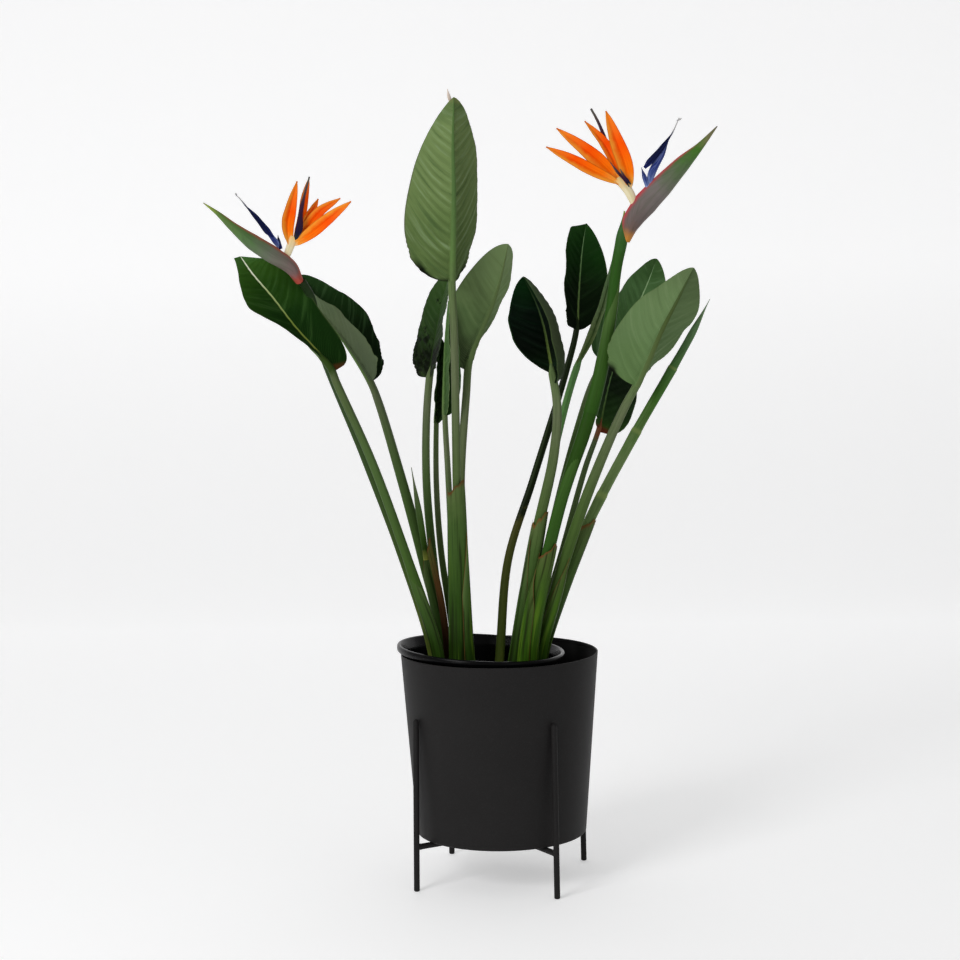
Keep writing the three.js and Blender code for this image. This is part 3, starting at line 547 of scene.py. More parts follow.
def blade_face(name, stops, midrib, *, rib_mm=2.6, taper=0.6, veins=0.25, streaks=0.35,
               streak_colour="#3c5a34", furrow_shade=0.0, furrow_shade_colour=None, half_shade=None, blotches=0.0,
               blotch_colour=None, edge="#4a5a34", edge_share=0.5, scorch=0.0, base=None, base_length=0.05,
               tip=None, rough=0.42, gloss=0.03, seed=0.0):
    """One face of a blade: a colour run from base to tip, lateral veins that sweep up from the midrib,
    streaks between them, a midrib line that thins towards the tip, and a paler margin. It may also paint
    shade: dark streaks in the furrows between the pleats, and one half of the face darker than the other."""
    s = Shader(name, gloss)
    across, along = s.map("share")
    side, y = s.map("place")
    x = abs(side)
    uneven = s.noise((side, y, seed), 6.0, 2.0)
    vein = y - x * (VEIN_RISE[1] * x + VEIN_RISE[0]) + uneven * 0.03
    cloud = s.noise((side, y, seed + 3), 2.2, 4.0)
    s.colour = s.ramp(along + (cloud - 0.5) * 0.5, stops)
    streak = s.noise((vein * 7.0, side * 0.9, seed), 1.6, 4.0, 0.6)
    s.paint(streak_colour, s.rise(streak, 0.5, 0.72) * streaks)
    # Painted shade: darker streaks beside the light ones stand for the shade in the furrows between pleats.
    if furrow_shade:
        s.paint(furrow_shade_colour, s.fall(streak, 0.3, 0.46) * furrow_shade)
    thread = s.math("SINE", vein * (2 * math.pi * PLACE_UNIT / THREAD_SPACING)) * 0.5 + 0.5
    s.paint(streak_colour, thread * veins)
    # Painted shade: one half of the face, on one side of the midrib, is made darker than the other.
    if half_shade:
        shade = s.rise(across, 0.47, 0.53) * (half_shade[1] - half_shade[0]) + half_shade[0]
        grey, = s.add("CombineColor", Red=shade, Green=shade, Blue=shade)
        s.paint(grey, 1.0, "MULTIPLY")
    if blotches:
        spots = s.noise(s.here(), 45.0, 5.0, 0.7) + s.fall(along, 0.05, 0.75) * 0.16
        s.paint(blotch_colour, s.rise(spots, 0.6, 0.68) * blotches)
    away = abs(across * 2.0 - 1.0)
    s.paint(edge, s.rise(away + uneven * 0.02, 0.965, 1.0) * edge_share)
    if scorch:
        outer = s.rise(away + cloud * 0.3, 0.86, 1.06)
        s.paint(SCORCHED, s.fall(along, scorch * 0.4, scorch) * outer)
    if base:
        s.paint(base, s.fall(along, 0.0, base_length))
    if tip:
        s.paint(tip, s.rise(along, 0.955, 0.99))
    thinner = s.math("POWER", s.math("MAXIMUM", 1.0 - along, 0.0), taper)
    ratio = x * PLACE_UNIT / s.math("MAXIMUM", thinner * rib_mm, 0.1)
    s.paint(s.ramp(along, midrib), s.fall(ratio, 0.55, 1.05))
    return s.finish(thread * 0.5 + streak * 0.8, 0.00035, 0.55, cloud * 0.16 + (rough - 0.08))


def stalk_face(name, stops, *, streak="#31421f", streaks=0.35, bold=0.25, bright=None, edge=None, bands=(),
               rough=0.42, seed=0.0):
    """A stalk: a colour run from its foot to its top, fine and broad lengthwise streaks, bright patches low
    down, paler bands where it joints, and a torn edge."""
    s = Shader(name, 0.06)
    around, along = s.map("share")
    x, y = s.map("place")
    cloud = s.noise((x, y, seed + 2), 5.0, 3.0)
    s.colour = s.ramp(along + (cloud - 0.5) * 0.16, stops)
    fibre = s.noise((x * 60.0, y * 1.3, seed), 1.0, 3.0, 0.6)
    s.paint(streak, s.rise(fibre, 0.45, 0.7) * streaks)
    broad = s.noise((x * 16.0, y * 0.7, seed + 5), 1.0, 2.0)
    s.paint(streak, s.rise(broad, 0.5, 0.66) * bold)
    if bright:
        pale = s.fall(broad, 0.34, 0.48) * s.fall(along, 0.3, 0.8)
        s.paint(bright, pale * 0.7)
    for band in bands:
        s.paint("#7f9150", s.fall(abs(along - band), 0.001, 0.009) * 0.6)
    if edge:
        rim = s.rise(abs(around * 2.0 - 1.0) + cloud * 0.1, 0.95, 1.05)
        top = s.rise(along + cloud * 0.05, 0.995, 1.02)
        s.paint(edge, s.math("MAXIMUM", rim, top) * 0.9)
    return s.finish(fibre + cloud * 0.5, 0.0004, 0.5, fibre * 0.2 + (rough - 0.1))


def petal_face(name, stops, *, edge="#a03c08", edge_share=0.5, vein="#d8480a", veins=0.3, glow=None):
    """A petal: a colour run from its base to its tip, long fine veins, darker margins and a paler side."""
    s = Shader(name, 0.03)
    across, along = s.map("share")
    x, y = s.map("place")
    cloud = s.noise((x, y, 1.7), 9.0, 3.0)
    s.colour = s.ramp(along + (cloud - 0.5) * 0.2, stops)
    fibre = s.noise((x * 90.0, y * 2.0, 0.4), 1.0, 2.0)
    s.paint(vein, s.rise(fibre, 0.45, 0.65) * veins)
    if glow:
        s.paint(glow, s.rise((1.0 - across) + cloud * 0.5, 0.75, 1.2) * 0.85)
    margin = s.math("MAXIMUM", s.rise(abs(across * 2.0 - 1.0), 0.86, 1.0), s.rise(along, 0.93, 1.0))
    s.paint(edge, margin * edge_share)
    return s.finish(fibre, 0.0003, 0.5, cloud * 0.15 + 0.38)


def spathe_face(name, stops, upper_share, upper, root):
    """The beak: grey purple below, green towards its tip, with a red upper edge and an orange root.
    upper_share is how far around the beak its upper edge lies."""
    s = Shader(name, 0.1)
    around, along = s.map("share")
    x, y = s.map("place")
    cloud = s.noise((x, y, 4.1), 6.0, 4.0)
    s.colour = s.ramp(along + (cloud - 0.5) * 0.22, stops)
    fibre = s.noise((x * 34.0, y * 1.2, 0.2), 1.0, 3.0)
    s.paint("#46503c", s.rise(fibre, 0.42, 0.7) * 0.3)
    away = abs(around - upper_share)
    away = s.math("MINIMUM", away, 1.0 - away) + (cloud - 0.5) * 0.08
    flush = s.fall(away, 0.056, 0.16) * s.fall(along, 0.66, 0.9)
    s.paint(upper, flush * 0.92)
    s.paint(root, s.fall(along + cloud * 0.06, 0.04, 0.16) * 0.9)
    return s.finish(fibre, 0.0004, 0.5, cloud * 0.16 + 0.36)


def coated_steel():
    """Matt black powder coat, with a fine orange peel, faint handling marks and a few grains of dust."""
    s = Shader("coated_steel", 0.09)
    here = s.here()
    cloud = s.noise(here, 9.0, 5.0, 0.6)
    grain = s.noise(here, 900.0, 2.0)
    s.colour = "#1b1a1a"
    s.paint("#252424", cloud)
    s.paint("#3a3a3a", s.rise(grain, 0.5, 0.75) * 0.25)
    distance, cell, *_ = s.add("TexVoronoi", {"feature": "F1"}, Vector=here, Scale=16.0)
    chosen = s.rise(s.add("SeparateColor", Color=cell)[0], 0.93, 0.94)
    dust = chosen * s.fall(distance, 0.006, 0.016)
    s.paint("#a8a8a0", dust * 0.75)
    return s.finish(grain + dust * 2.0, 0.00012, 0.5, cloud * 0.18 + 0.46)


def pot_plastic():
    """Glossy black nursery pot, with faint turned rings."""
    s = Shader("pot_plastic", 0.12)
    here = s.here()
    cloud = s.noise(here, 25.0, 4.0)
    rings = s.math("SINE", s.split(here)[2] * 2600.0)
    s.colour = "#050506"
    s.paint("#0f0d0c", s.rise(cloud, 0.45, 0.8))
    return s.finish(rings * 0.25 + cloud, 0.0002, 0.4, cloud * 0.3 + 0.12)


def soil_face():
    """Moist potting compost: fibres and crumbs in dark browns."""
    s = Shader("soil", 0.2, 0.95)
    here = s.here()
    cloud = s.noise(here, 60.0, 6.0, 0.7)
    crumbs = s.noise(here, 320.0, 4.0, 0.7)
    s.colour = "#17100b"
    s.paint("#2c2018", s.rise(cloud, 0.35, 0.7))
    s.paint("#5a4632", s.rise(crumbs, 0.58, 0.7) * 0.5)
    return s.finish(crumbs + cloud * 2.0, 0.002, 0.9)


def chip_face():
    s = Shader("bark_chip", 0.2, 0.9)
    grain = s.noise(s.here(), 180.0, 4.0, 0.6, 1.5)
    s.colour = s.ramp(grain, "0.3 #22150c, 0.55 #4a3220, 0.75 #6b4c32")
    return s.finish(grain, 0.001, 0.7)


# Leaves

UPPER_RIB = "0 #5c7034, 0.4 #7f9450, 0.75 #b9c696, 1 #dfe6cf"
DIM_RIB = "0 #4d5f2c, 0.5 #5d7a4a, 1 #7c9468"
UNDER_RIB = "0 #5f7446, 0.15 #5f7c44, 0.5 #557240, 1 #56743f"
# The blade colour runs here and in the leaves below are partly the leaves' own greens and partly painted
# shade: most run darker towards the base, and some are near black where the leaf lies in shade. The leaves'
# half and furrow settings paint shade as well.
UPPER = dict(stops="0 #0c1f0a, 0.45 #16330f, 1 #24481a", midrib=UPPER_RIB)
UNDER = dict(stops="0 #4a5d39, 0.5 #5d7549, 1 #6a8256", midrib=UNDER_RIB, rough=0.6, gloss=0.04,
             streak_colour="#84996f", streaks=0.3, veins=0.2, rib_mm=3.6)
GREEN_STALK = "0 #8b8f3c, 0.12 #26400a, 0.3 #38561a, 0.6 #4d6536, 0.85 #646e50, 1 #5f7046"
GREY_STALK = "0 #7d8238, 0.16 #2c4710, 0.42 #48602c, 0.75 #656f50, 1 #5f7446"


def leaf(node, petiole, midrib, *, foot=9.5, flat=0.58, top=5.3, stalk=GREEN_STALK, upper=None, under=None,
         shoot=None, shoot_look=None, **shape):
    """A leaf in one piece: its blade, its midrib and its stalk, which run through two lists of points. The
    stalk's half width is foot in the soil, where it is flat times as deep, and top at the blade. A shoot is
    a small pointed piece beside them, with the look of the stalk or one of its own."""
    piece = Piece()
    path = Path([*petiole, *midrib])
    share_of_path = len(petiole) / (len(petiole) + len(midrib) - 1)
    blade_sheet(piece, path, share_of_path, rib=top, **shape)
    stalk_tube(piece, path, share_of_path, foot, flat, top, shape["turn"][0])
    if shoot:
        points, half_widths, sides = shoot
        spear_tube(piece, points, half_widths, sides=sides, slot=SHOOT_SLOT if shoot_look else STALK_SLOT)
    name = node.removeprefix("leaf_")
    looks = [
        blade_face(f"{name}_upper", **{**UPPER, **(upper or {})}),
        blade_face(f"{name}_under", **{**UNDER, **(under or {})}),
        stalk_face(f"{name}_stalk", stalk),
    ]
    piece.build(node, *looks, *([shoot_look] if shoot_look else []))


leaf(
    "leaf_left_front",
    [[-78, -22, 240], [-83, -25, 318], [-121, -46, 447], [-165, -68, 581], [-208, -88, 687]],
    [[-216.7, -86, 708.7], [-261.9, -82, 761.6], [-292, -74, 801.1], [-318.5, -70, 833],
     [-333.4, -68, 855.3]],
    foot=7.5, half_width=(45, 43), turn=(76, 42), fold=(-12, 42), wave=1.5, crinkle=0.3, seed=11,
    outline=((0.06, 0.12, 0.3, 0.48, 0.77, 0.98, 0.87, 0.62, 0.41, 0.29, 0.21), (0.22, 0.4)),
    blunt=(0, 24), slant=(-2, 20), lobe=(0, 8),
    stalk="0 #8b8f3c, 0.12 #26400a, 0.3 #38561a, 0.6 #4d6536, 0.85 #55623e, 0.97 #2f4416",
    upper=dict(stops="0 #081f04, 0.3 #0c2a06, 0.6 #1f400c, 0.85 #305418, 1 #3a622a",
               midrib="0 #6a6a2e, 0.3 #76883c, 0.55 #a9b97c, 0.75 #e4ead2", rib_mm=1.9, taper=0.25,
               streak_colour="#466b34", veins=0.12, half_shade=(0.95, 1.0), base="#4a2c14", base_length=0.02,
               seed=1.0),
)
leaf(
    "leaf_left_outer",
    [[-72, 10, 240], [-73, 10, 314], [-102, 17, 439], [-134, 23, 563], [-160, 28, 655]],
    [[-171, 30, 684], [-200, 38, 732], [-223, 46, 763], [-246, 54, 790], [-271, 70, 831]],
    half_width=(46, 50), turn=(73, 46), fold=(60, 34), outline=((0.4, 0.8), (0.42, 0.6)), crinkle=1.0,
    ragged=0.1, seed=5, shoot=([[-98, 10, 440], [-106, 2, 500], [-116, -1, 568]], [4.2, 4.6, 0.5], 16),
    upper=dict(stops="0 #020502, 0.2 #071406, 0.5 #15300f, 1 #1a3814", midrib=DIM_RIB,
               streak_colour="#42603a", streaks=0.6, veins=0.2, edge="#050805", seed=2.0),
    under=dict(stops="0 #525e46, 0.5 #576446, 1 #46593c", streaks=0.15, seed=2.5),
)
# The tall leaf's shoot is its withered end, which curls up behind its point.
leaf(
    "leaf_left_tall",
    [[-52, -24, 240], [-53, -26, 340], [-54, -31, 471], [-54, -36, 607], [-54, -42, 741]],
    [[-56, -45, 818], [-54, -43, 872], [-52, -35, 935], [-52, -29, 1000], [-50, -25, 1062]],
    foot=6, half_width=(65, 65), turn=(225, 194), fold=(30, 30), outline=((0.34, 0.6), (0.42, 0.8)), wave=2,
    pleat=1.1, crinkle=1.0, ragged=0.05, rows=230, columns=32, seed=21, stalk=GREY_STALK,
    shoot=([[-52, -21, 1050], [-56, -20, 1062], [-58.5, -19, 1074]], [1.6, 2.4, 0.6], 12),
    shoot_look=petal_face("left_tall_tip", "0 #b8a48c, 1 #eadfd6", edge="#c9b4a4", vein="#d8c4b4"),
    under=dict(stops="0 #4c6030, 0.3 #5f7640, 0.6 #6c824c, 0.85 #708650, 1 #5f7644", streak_colour="#8fa67c",
               streaks=0.5, veins=0.12, edge="#5b5a4c", half_shade=(0.84, 1.02), furrow_shade=0.55,
               furrow_shade_colour="#3c562c", base="#1c2614", base_length=0.03, scorch=0.16, rib_mm=4.6,
               tip="#6f7a4a", seed=3.0),
)
leaf(
    "leaf_left_inner",
    [[-42, 6, 240], [-46, 6, 315], [-48, 6, 439], [-49, 7, 549], [-40, 9, 665]],
    [[-35, 10, 712], [-20, 15, 750], [-5, 20, 782], [8, 25, 820], [20, 35, 869]],
    foot=6, half_width=(38, 54), turn=(222, 220), fold=(29, 29), outline=((1.0, 0.3), (0.5, 0.6)),
    lobe=(0, 14), wave=1.5, seed=31, stalk=GREY_STALK,
    under=dict(stops="0 #38482a, 0.4 #566e42, 0.7 #728a58, 1 #7c9464",
               midrib="0 #5f7446, 0.6 #65794a, 1 #6a7c50", streak_colour="#76895c", streaks=0.35, furrow_shade=0.3,
               furrow_shade_colour="#4a5c38", half_shade=(1.08, 1.0), seed=4.0),
)
leaf(
    "leaf_left_back",
    [[-76, 28, 240], [-76, 27, 320], [-88, 29, 423], [-97, 35, 540], [-96, 41, 630]],
    [[-91, 45, 688], [-86, 50, 722], [-79, 54, 758], [-71, 58, 796], [-59, 60, 838]],
    foot=6.5, half_width=(42, 34), turn=(-62, -62), fold=(12, 12), outline=((0.25, 0.5), (0.5, 0.8)),
    wave=1.5, waves=2, crinkle=1.2, ragged=0.1, seed=41,
    upper=dict(stops="0 #040a03, 0.25 #0b1607, 0.6 #25401a, 1 #3b582a",
               midrib="0 #1c2a12, 0.5 #2f4820, 1 #41602e", edge="#0a1006", streak_colour="#4d6836",
               streaks=0.4, blotches=0.85, blotch_colour="#080d05", seed=5.0),
)
leaf(
    "leaf_left_folded",
    [[-58, 24, 240], [-62, 28, 320], [-79, 44, 450], [-84, 56, 540]],
    [[-83, 66, 622], [-81, 72, 655], [-78, 78, 700], [-75, 82, 742]],
    foot=5.5, top=3.6, half_width=(30, 30), turn=(20, 20), fold=(64, 70), wave=1, seed=51, stalk=GREY_STALK,
    upper=dict(stops="0 #1c3014, 1 #2c4620", midrib=DIM_RIB, seed=6.0),
    under=dict(stops="0 #2c4420, 1 #3c5a2c", seed=6.0),
)
leaf(
    "leaf_left_furled",
    [[-56, -5, 240], [-58, -6, 316], [-62, -7, 440], [-66, -7, 560]],
    [[-69, -5, 638], [-68, -4, 690], [-66, -2, 740], [-62, 0, 793]],
    foot=5.5, top=3.8, half_width=(24, 24), turn=(40, 40), fold=(66, 66), outline=((0.4, 0.8), (0.4, 0.8)),
    wave=1, seed=61,
    upper=dict(stops="0 #1c3a12, 1 #345a20", midrib=DIM_RIB, seed=7.0),
    under=dict(stops="0 #28461a, 0.6 #31541f, 1 #456c30", edge="#8fa86c", edge_share=0.8, seed=7.0),
)
leaf(
    "leaf_right_front",
    [[22, -20, 240], [28, -20, 311], [50, -26, 463], [77, -35, 585], [82, -41, 650]],
    [[76, -44, 694], [71, -50, 725], [65, -57, 757], [55, -65, 788], [38, -75, 823]],
    half_width=(47, 54), turn=(0, 0), fold=(8, 0), curl=(15, 160), outline=((0.85, 0.65), (0.3, 0.6)),
    lobe=(0, 12), crinkle=0.8, seed=71, stalk=GREY_STALK,
    # Painted shade: the near black middle of this colour run.
    upper=dict(stops="0 #0a1607, 0.3 #010301, 0.7 #030b05, 1 #08260a",
               midrib="0 #6d7f3c, 0.35 #4a5c2c, 0.7 #33452a, 1 #16240f", streak_colour="#1a3320", streaks=0.3,
               veins=0.12, edge="#2f5a2a", seed=8.0),
    under=dict(stops="0 #2c3a22, 0.5 #363f2a, 1 #3a4732", streak_colour="#4f5c44", streaks=0.25, veins=0.1,
               seed=8.5),
)
leaf(
    "leaf_right_back",
    [[-4, 12, 240], [2, 16, 320], [14, 34, 435], [50, 58, 543], [98, 80, 690]],
    [[114, 88, 750], [117, 95, 790], [120, 100, 826], [124, 105, 863], [130, 110, 898]],
    foot=7, top=4.2, half_width=(35, 40), turn=(35, 18), fold=(25, 25), outline=((0.08, 0.1), (0.55, 0.78)),
    blunt=(9, 2), slant=(9, 0), wave=1.5, ragged=0.06, seed=81,
    stalk="0 #6b7030, 0.2 #4a5a20, 0.49 #4c4a20, 0.52 #161d0e, 1 #1c2714",
    upper=dict(stops="0 #050b04, 0.3 #071305, 0.7 #0f2d0a, 1 #1a4012",
               midrib="0 #6a7c42, 0.5 #5f7d4c, 0.85 #6f9062, 1 #3c5c30", streaks=0.15, veins=0.06, seed=9.0),
)
leaf(
    "leaf_right_far",
    [[34, 26, 240], [44, 34, 320], [79, 60, 487], [114, 88, 610], [138, 110, 676]],
    [[154, 118, 702], [178, 126, 738], [198, 132, 774], [216, 137, 811], [231, 142, 848]],
    foot=6, half_width=(44, 40), turn=(10, 10), outline=((0.25, 0.6), (0.5, 0.7)), seed=91,
    upper=dict(stops="0 #123010, 0.4 #365628, 0.7 #486a3c, 1 #2b4a1c",
               midrib="0 #3a5a2c, 0.5 #86a070, 0.8 #8fae80, 1 #2c5022", streak_colour="#5f8054", streaks=0.5,
               furrow_shade=0.3, furrow_shade_colour="#1c3814", seed=10.0),
)
leaf(
    "leaf_right_outer",
    [[50, -12, 240], [56, -14, 317], [105, -30, 485], [142, -45, 583], [172, -55, 650]],
    [[186, -60, 676], [203, -65, 712], [220, -70, 750], [240, -75, 788], [262, -80, 831]],
    half_width=(53, 57), turn=(222, 172), fold=(37, 37), outline=((0.8, 0.8), (0.3, 0.65)), crinkle=1.0,
    ragged=0.08, seed=101, stalk=GREY_STALK,
    under=dict(stops="0 #54703f, 0.4 #5f7a4c, 0.75 #647d50, 1 #5b6f48",
               midrib="0 #5f7446, 0.3 #55663a, 0.6 #4a5a30, 1 #455634", streak_colour="#7d9468", streaks=0.35,
               furrow_shade=0.3, furrow_shade_colour="#485f36", scorch=0.12, half_shade=(0.76, 1.04), edge="#5f7448",
               rib_mm=2.4, seed=11.0),
)
leaf(
    "leaf_right_low",
    [[34, 8, 240], [46, 12, 311], [85, 24, 435], [122, 34, 561]],
    [[142, 42, 615], [149, 46, 646], [157, 50, 678], [168, 54, 712], [182, 58, 750]],
    foot=5.5, top=3.6, half_width=(22, 46), turn=(40, 40), outline=((0.3, 0.6), (0.3, 0.6)), lobe=(0, 5),
    wave=1.5, seed=111, stalk="0 #6b7030, 0.3 #3f5520, 0.9 #4a5a3a, 1 #7c3a24",
    upper=dict(stops="0 #2c4a10, 0.22 #1a3010, 0.4 #060a05, 1 #040704", midrib=DIM_RIB, base="#5a2416",
               streaks=0.2, seed=12.0),
)
leaf(
    "leaf_right_slender",
    [[14, 32, 240], [24, 36, 320], [52, 48, 450], [79, 54, 578]],
    [[112, 47, 698], [134, 42, 745], [152, 37, 797], [166, 30, 858]],
    foot=5.5, top=5, half_width=(14, 6), turn=(20, 20), fold=(42, 50), wave=0.6, pleat=0.2, crinkle=0.2,
    seed=121, stalk="0 #7d8238, 0.2 #33490f, 0.6 #3f6a2c, 1 #5f8a50",
    upper=dict(stops="0 #66763f, 0.5 #75875a, 1 #6c9060", midrib=UNDER_RIB, seed=13.0),
    under=dict(stops="0 #66763f, 0.5 #75875a, 1 #7c9c70", seed=13.0),
)


def rolled_leaf():
    """The youngest leaf, still rolled to a spear that comes out of two older sheaths."""
    piece = Piece()
    points = [[50, 8, 240], [60, 4, 315], [116, -6, 473], [184, -8, 603], [233, -9, 687], [263, -9, 739],
              [290, -10, 790]]
    collars = (0.4, 0.52, 0.7)
    spear_tube(piece, points, [8, 8, 7, 7.6, 7.8, 6.8, 0.5], steps=90, collars=collars, twist=2.0)
    stops = "0 #8b8f3c, 0.2 #3d5a1c, 0.45 #6b8250, 0.6 #3f6a24, 0.8 #567a4c, 1 #7d9a70"
    piece.build("leaf_right_spear", stalk_face("right_spear", stops, bands=collars, seed=14.0))


rolled_leaf()


# Sheaths at the feet of the clumps

SHEATH_GREEN = "0 #9aa046, 0.14 #20380a, 0.45 #2b4812, 0.8 #425c2a, 1 #56683a"
SHEATH_YELLOW = "0 #a3a848, 0.18 #34580e, 0.6 #355a14, 1 #4f6030"
SHEATH_BROWN = "0 #2c1d0e, 0.4 #3a2311, 0.75 #503619, 1 #4c5426"


def sheath(node, look, *layers):
    """One or more overlapping sheaths, each with its path, radii at foot and top, wrap and shape."""
    piece = Piece()
    for points, radius, wrap, shape in layers:
        sheath_sheet(piece, points, radius, wrap, **shape)
    piece.build(node, look)


sheath(
    "sheath_left_outer",
    stalk_face("left_sheath", SHEATH_GREEN, streak="#171c08", bold=0.75, bright="#5c7c22", edge="#5c3a1c",
               seed=15.0),
    ([[-52, -24, 272], [-53, -26, 340], [-54, -30, 458], [-55, -34, 545]], (16, 11.5), (-100, 100),
     dict(tear=8, seed=4)),
    ([[-49, -27, 272], [-50, -29, 330], [-51, -32, 420], [-51, -34, 490]], (17, 10), (10, 100),
     dict(tip=60, lift=0.8)),
    ([[-80, -24, 272], [-83, -26, 318], [-112, -40, 420], [-134, -52, 498]], (9.5, 6.8), (-120, 70),
     dict(tip=-70, thickness=0.9)),
    ([[-73, 8, 272], [-74, 8, 314], [-96, 14, 418], [-110, 17, 492]], (11, 6.6), (-110, 90),
     dict(tip=60, thickness=0.9)),
)
sheath(
    "sheath_left_dried",
    stalk_face("dried_sheath", SHEATH_BROWN, streak="#1d120a", streaks=0.6, rough=0.75, edge="#5c3c1e",
               seed=16.0),
    ([[-69, -9, 272], [-72, -9, 332], [-79, -11, 390], [-94, -16, 465]], (5, 4), (-70, 70),
     dict(flat=0.5, tear=8, seed=5)),
)
sheath(
    "sheath_right_front",
    stalk_face("right_sheath_front", SHEATH_GREEN, streak="#171c08", bold=0.75, bright="#5c7c22",
               edge="#6a4a22", seed=17.0),
    ([[23, -20, 272], [28, -20, 311], [42, -24, 410], [58, -28, 500]], (13, 9.5), (-100, 80),
     dict(flat=0.8, tear=10, seed=6)),
    ([[19, -24, 272], [24, -24, 311], [37, -27, 400], [50, -30, 474]], (12.5, 7), (-110, 40),
     dict(flat=0.8, tip=-40, lift=0.6, thickness=0.9)),
    ([[52, 10, 272], [59, 6, 315], [88, 0, 400], [124, -6, 490]], (10.5, 8.2), (-110, 130),
     dict(flat=0.85, tear=7, seed=12)),
)
sheath(
    "sheath_right_outer",
    stalk_face("right_sheath_outer", SHEATH_YELLOW, streak="#1c2008", bold=0.75, bright="#6c8c26",
               edge="#6a4422", seed=18.0),
    ([[38, -34, 272], [42, -34, 330], [55, -34, 400], [68, -34, 456]], (12, 10.5), (-90, 100),
     dict(flat=0.85, tear=10, seed=7)),
    ([[33, -39, 272], [37, -39, 330], [47, -39, 390], [58, -38, 430]], (11, 7.5), (-110, 30),
     dict(flat=0.85, tip=-60, lift=0.6, thickness=0.9)),
    ([[51, -14, 272], [56, -15, 317], [80, -22, 400], [94, -27, 450]], (11, 7.6), (-60, 110),
     dict(flat=0.8, tip=30, thickness=0.9)),
)


# Flowers

SEPAL = dict(thickness=1.2, wave=0, outline=((0.65, 0.8), (0.65, 0.8)), fold=(25, 25), rib=1, rows=48,
             columns=10, pleat=0.0, crinkle=0.25)
ORANGE = "0 #f4e4a8, 0.1 #f9ab40, 0.25 #ff7a08, 0.6 #ff5600, 1 #f58a28"
CREAM = "0 #e8dcb4, 0.6 #efe4c0, 1 #f2c070"
BLUE = "0 #1a2260, 0.4 #10163c, 1 #0a0c20"
LIGHT_BLUE = "0 #c4cce0, 0.14 #6678ac, 0.4 #2c3a7c, 1 #1a2050"
PALE_THREAD = "0 #3c4260, 0.4 #a8a8a6, 1 #c9c9c6"
DARK_PURPLE = "0 #2c3a30, 0.2 #1c1630, 0.6 #4a2430, 1 #6a6a5c"


SPATHE_SIDES = 40
SPATHE_RINGS = 60
SEAM_DEPTH = 0.16
SEAM_WIDTH = 0.16
BRACT_WRAP = 130


def spathe_tube(piece, points, half_heights, half_thickness, upper):
    """Adds the beak: a keeled boat, with a seam along its upper edge where the flower comes out."""
    path = Path(points)
    around = angles_around(SPATHE_SIDES)
    seam = SEAM_DEPTH * hump(turned_away(around, upper * math.pi / 2), 0, SEAM_WIDTH)
    keel = np.abs(np.cos(around)) ** 0.4
    last = len(half_heights) - 1
    times = np.linspace(0, 1, SPATHE_RINGS)
    rings = []
    for t in times:
        i = min(int(t * last), last - 1)
        height = mix(half_heights[i], half_heights[i + 1], t * last - i)
        dent = 1 - float(smooth(0.12, 0.25, t) * (1 - smooth(0.6, 0.85, t))) * seam
        rings.append(path.ring(t, height * dent, min(half_thickness, height) * keel * dent, around))
    tube(piece, np.array(rings), times, times * path.length())


def flower(side, *, scape, bracts, scape_looks, spathe, upper, spathe_look, neck, sepals, lobe, blade, barb,
           barb_slot, thread, knob, pistil, slips=()):
    """A flower head on its stalk: the stalk, the beak, the orange sepals, the blue arrow and the inner petal.
    A part is a list of points, mostly with a list of half widths. upper is 1 where the beak points left, and
    -1 where it points right. A slip is a narrow piece of the inner petal between the sepals."""
    piece = Piece()
    spear_tube(piece, *scape, steps=80)
    for start, end, angle, radius in bracts:
        sheath_sheet(piece, scape[0], (radius, radius * 0.8), (angle - BRACT_WRAP, angle + BRACT_WRAP),
                     flat=0.8, start=start, end=end, tip=angle, thickness=0.8, rows=36, columns=20,
                     slots=(1, 1))
    piece.build(f"scape_{side}", *scape_looks)

    piece = Piece()
    spathe_tube(piece, *spathe, upper)
    piece.build(f"spathe_{side}", spathe_look)

    piece = Piece()
    spear_tube(piece, *neck, steps=20, slot=1)
    for i, (points, half_width, turn) in enumerate(sepals):
        blade_sheet(piece, Path(points), 0, slots=(0, 0), half_width=(half_width, half_width), turn=turn,
                    seed=200 + i, **SEPAL)
    piece.build(
        f"flower_sepals_{side}",
        petal_face(f"sepal_{side}", ORANGE, glow="#ffa436"),
        petal_face(f"neck_{side}", CREAM, edge="#d8c890", vein="#d9c9a0"),
    )

    piece = Piece()
    spear_tube(piece, lobe, [2.2, 4.2, 3.2, 0.8], flat=0.5, steps=30, sides=16)
    spear_tube(piece, *blade, flat=0.5, steps=30, sides=16, slot=1)
    spear_tube(piece, *barb, flat=0.5, steps=16, sides=14, slot=barb_slot)
    spear_tube(piece, thread, [1.1, 0.8, 0.6], steps=20, sides=10, slot=2)
    spear_tube(piece, knob, [0.6, 1.3, 0.4], steps=12, sides=10, slot=2)
    piece.build(
        f"flower_arrow_petal_{side}",
        petal_face(f"arrow_{side}", BLUE, edge="#080a1c", edge_share=0.6, vein="#2c3a80"),
        petal_face(f"arrow_base_{side}", LIGHT_BLUE, edge="#283470", edge_share=0.4, vein="#8c9ccc",
                   veins=0.35),
        petal_face(f"thread_{side}", PALE_THREAD, edge="#b0b0ae", vein="#8c8c8a"),
        name=f"fine_flower_arrow_{side}",
    )

    piece = Piece()
    spear_tube(piece, *pistil, flat=0.5, sides=16)
    for slip in slips:
        spear_tube(piece, slip, [0.8, 2.2, 1.8, 0.5], flat=0.5, steps=20, sides=12)
    look = petal_face(f"pistil_{side}", DARK_PURPLE, edge="#1a1a30", vein="#2a2450")
    piece.build(f"flower_pistil_{side}", look)


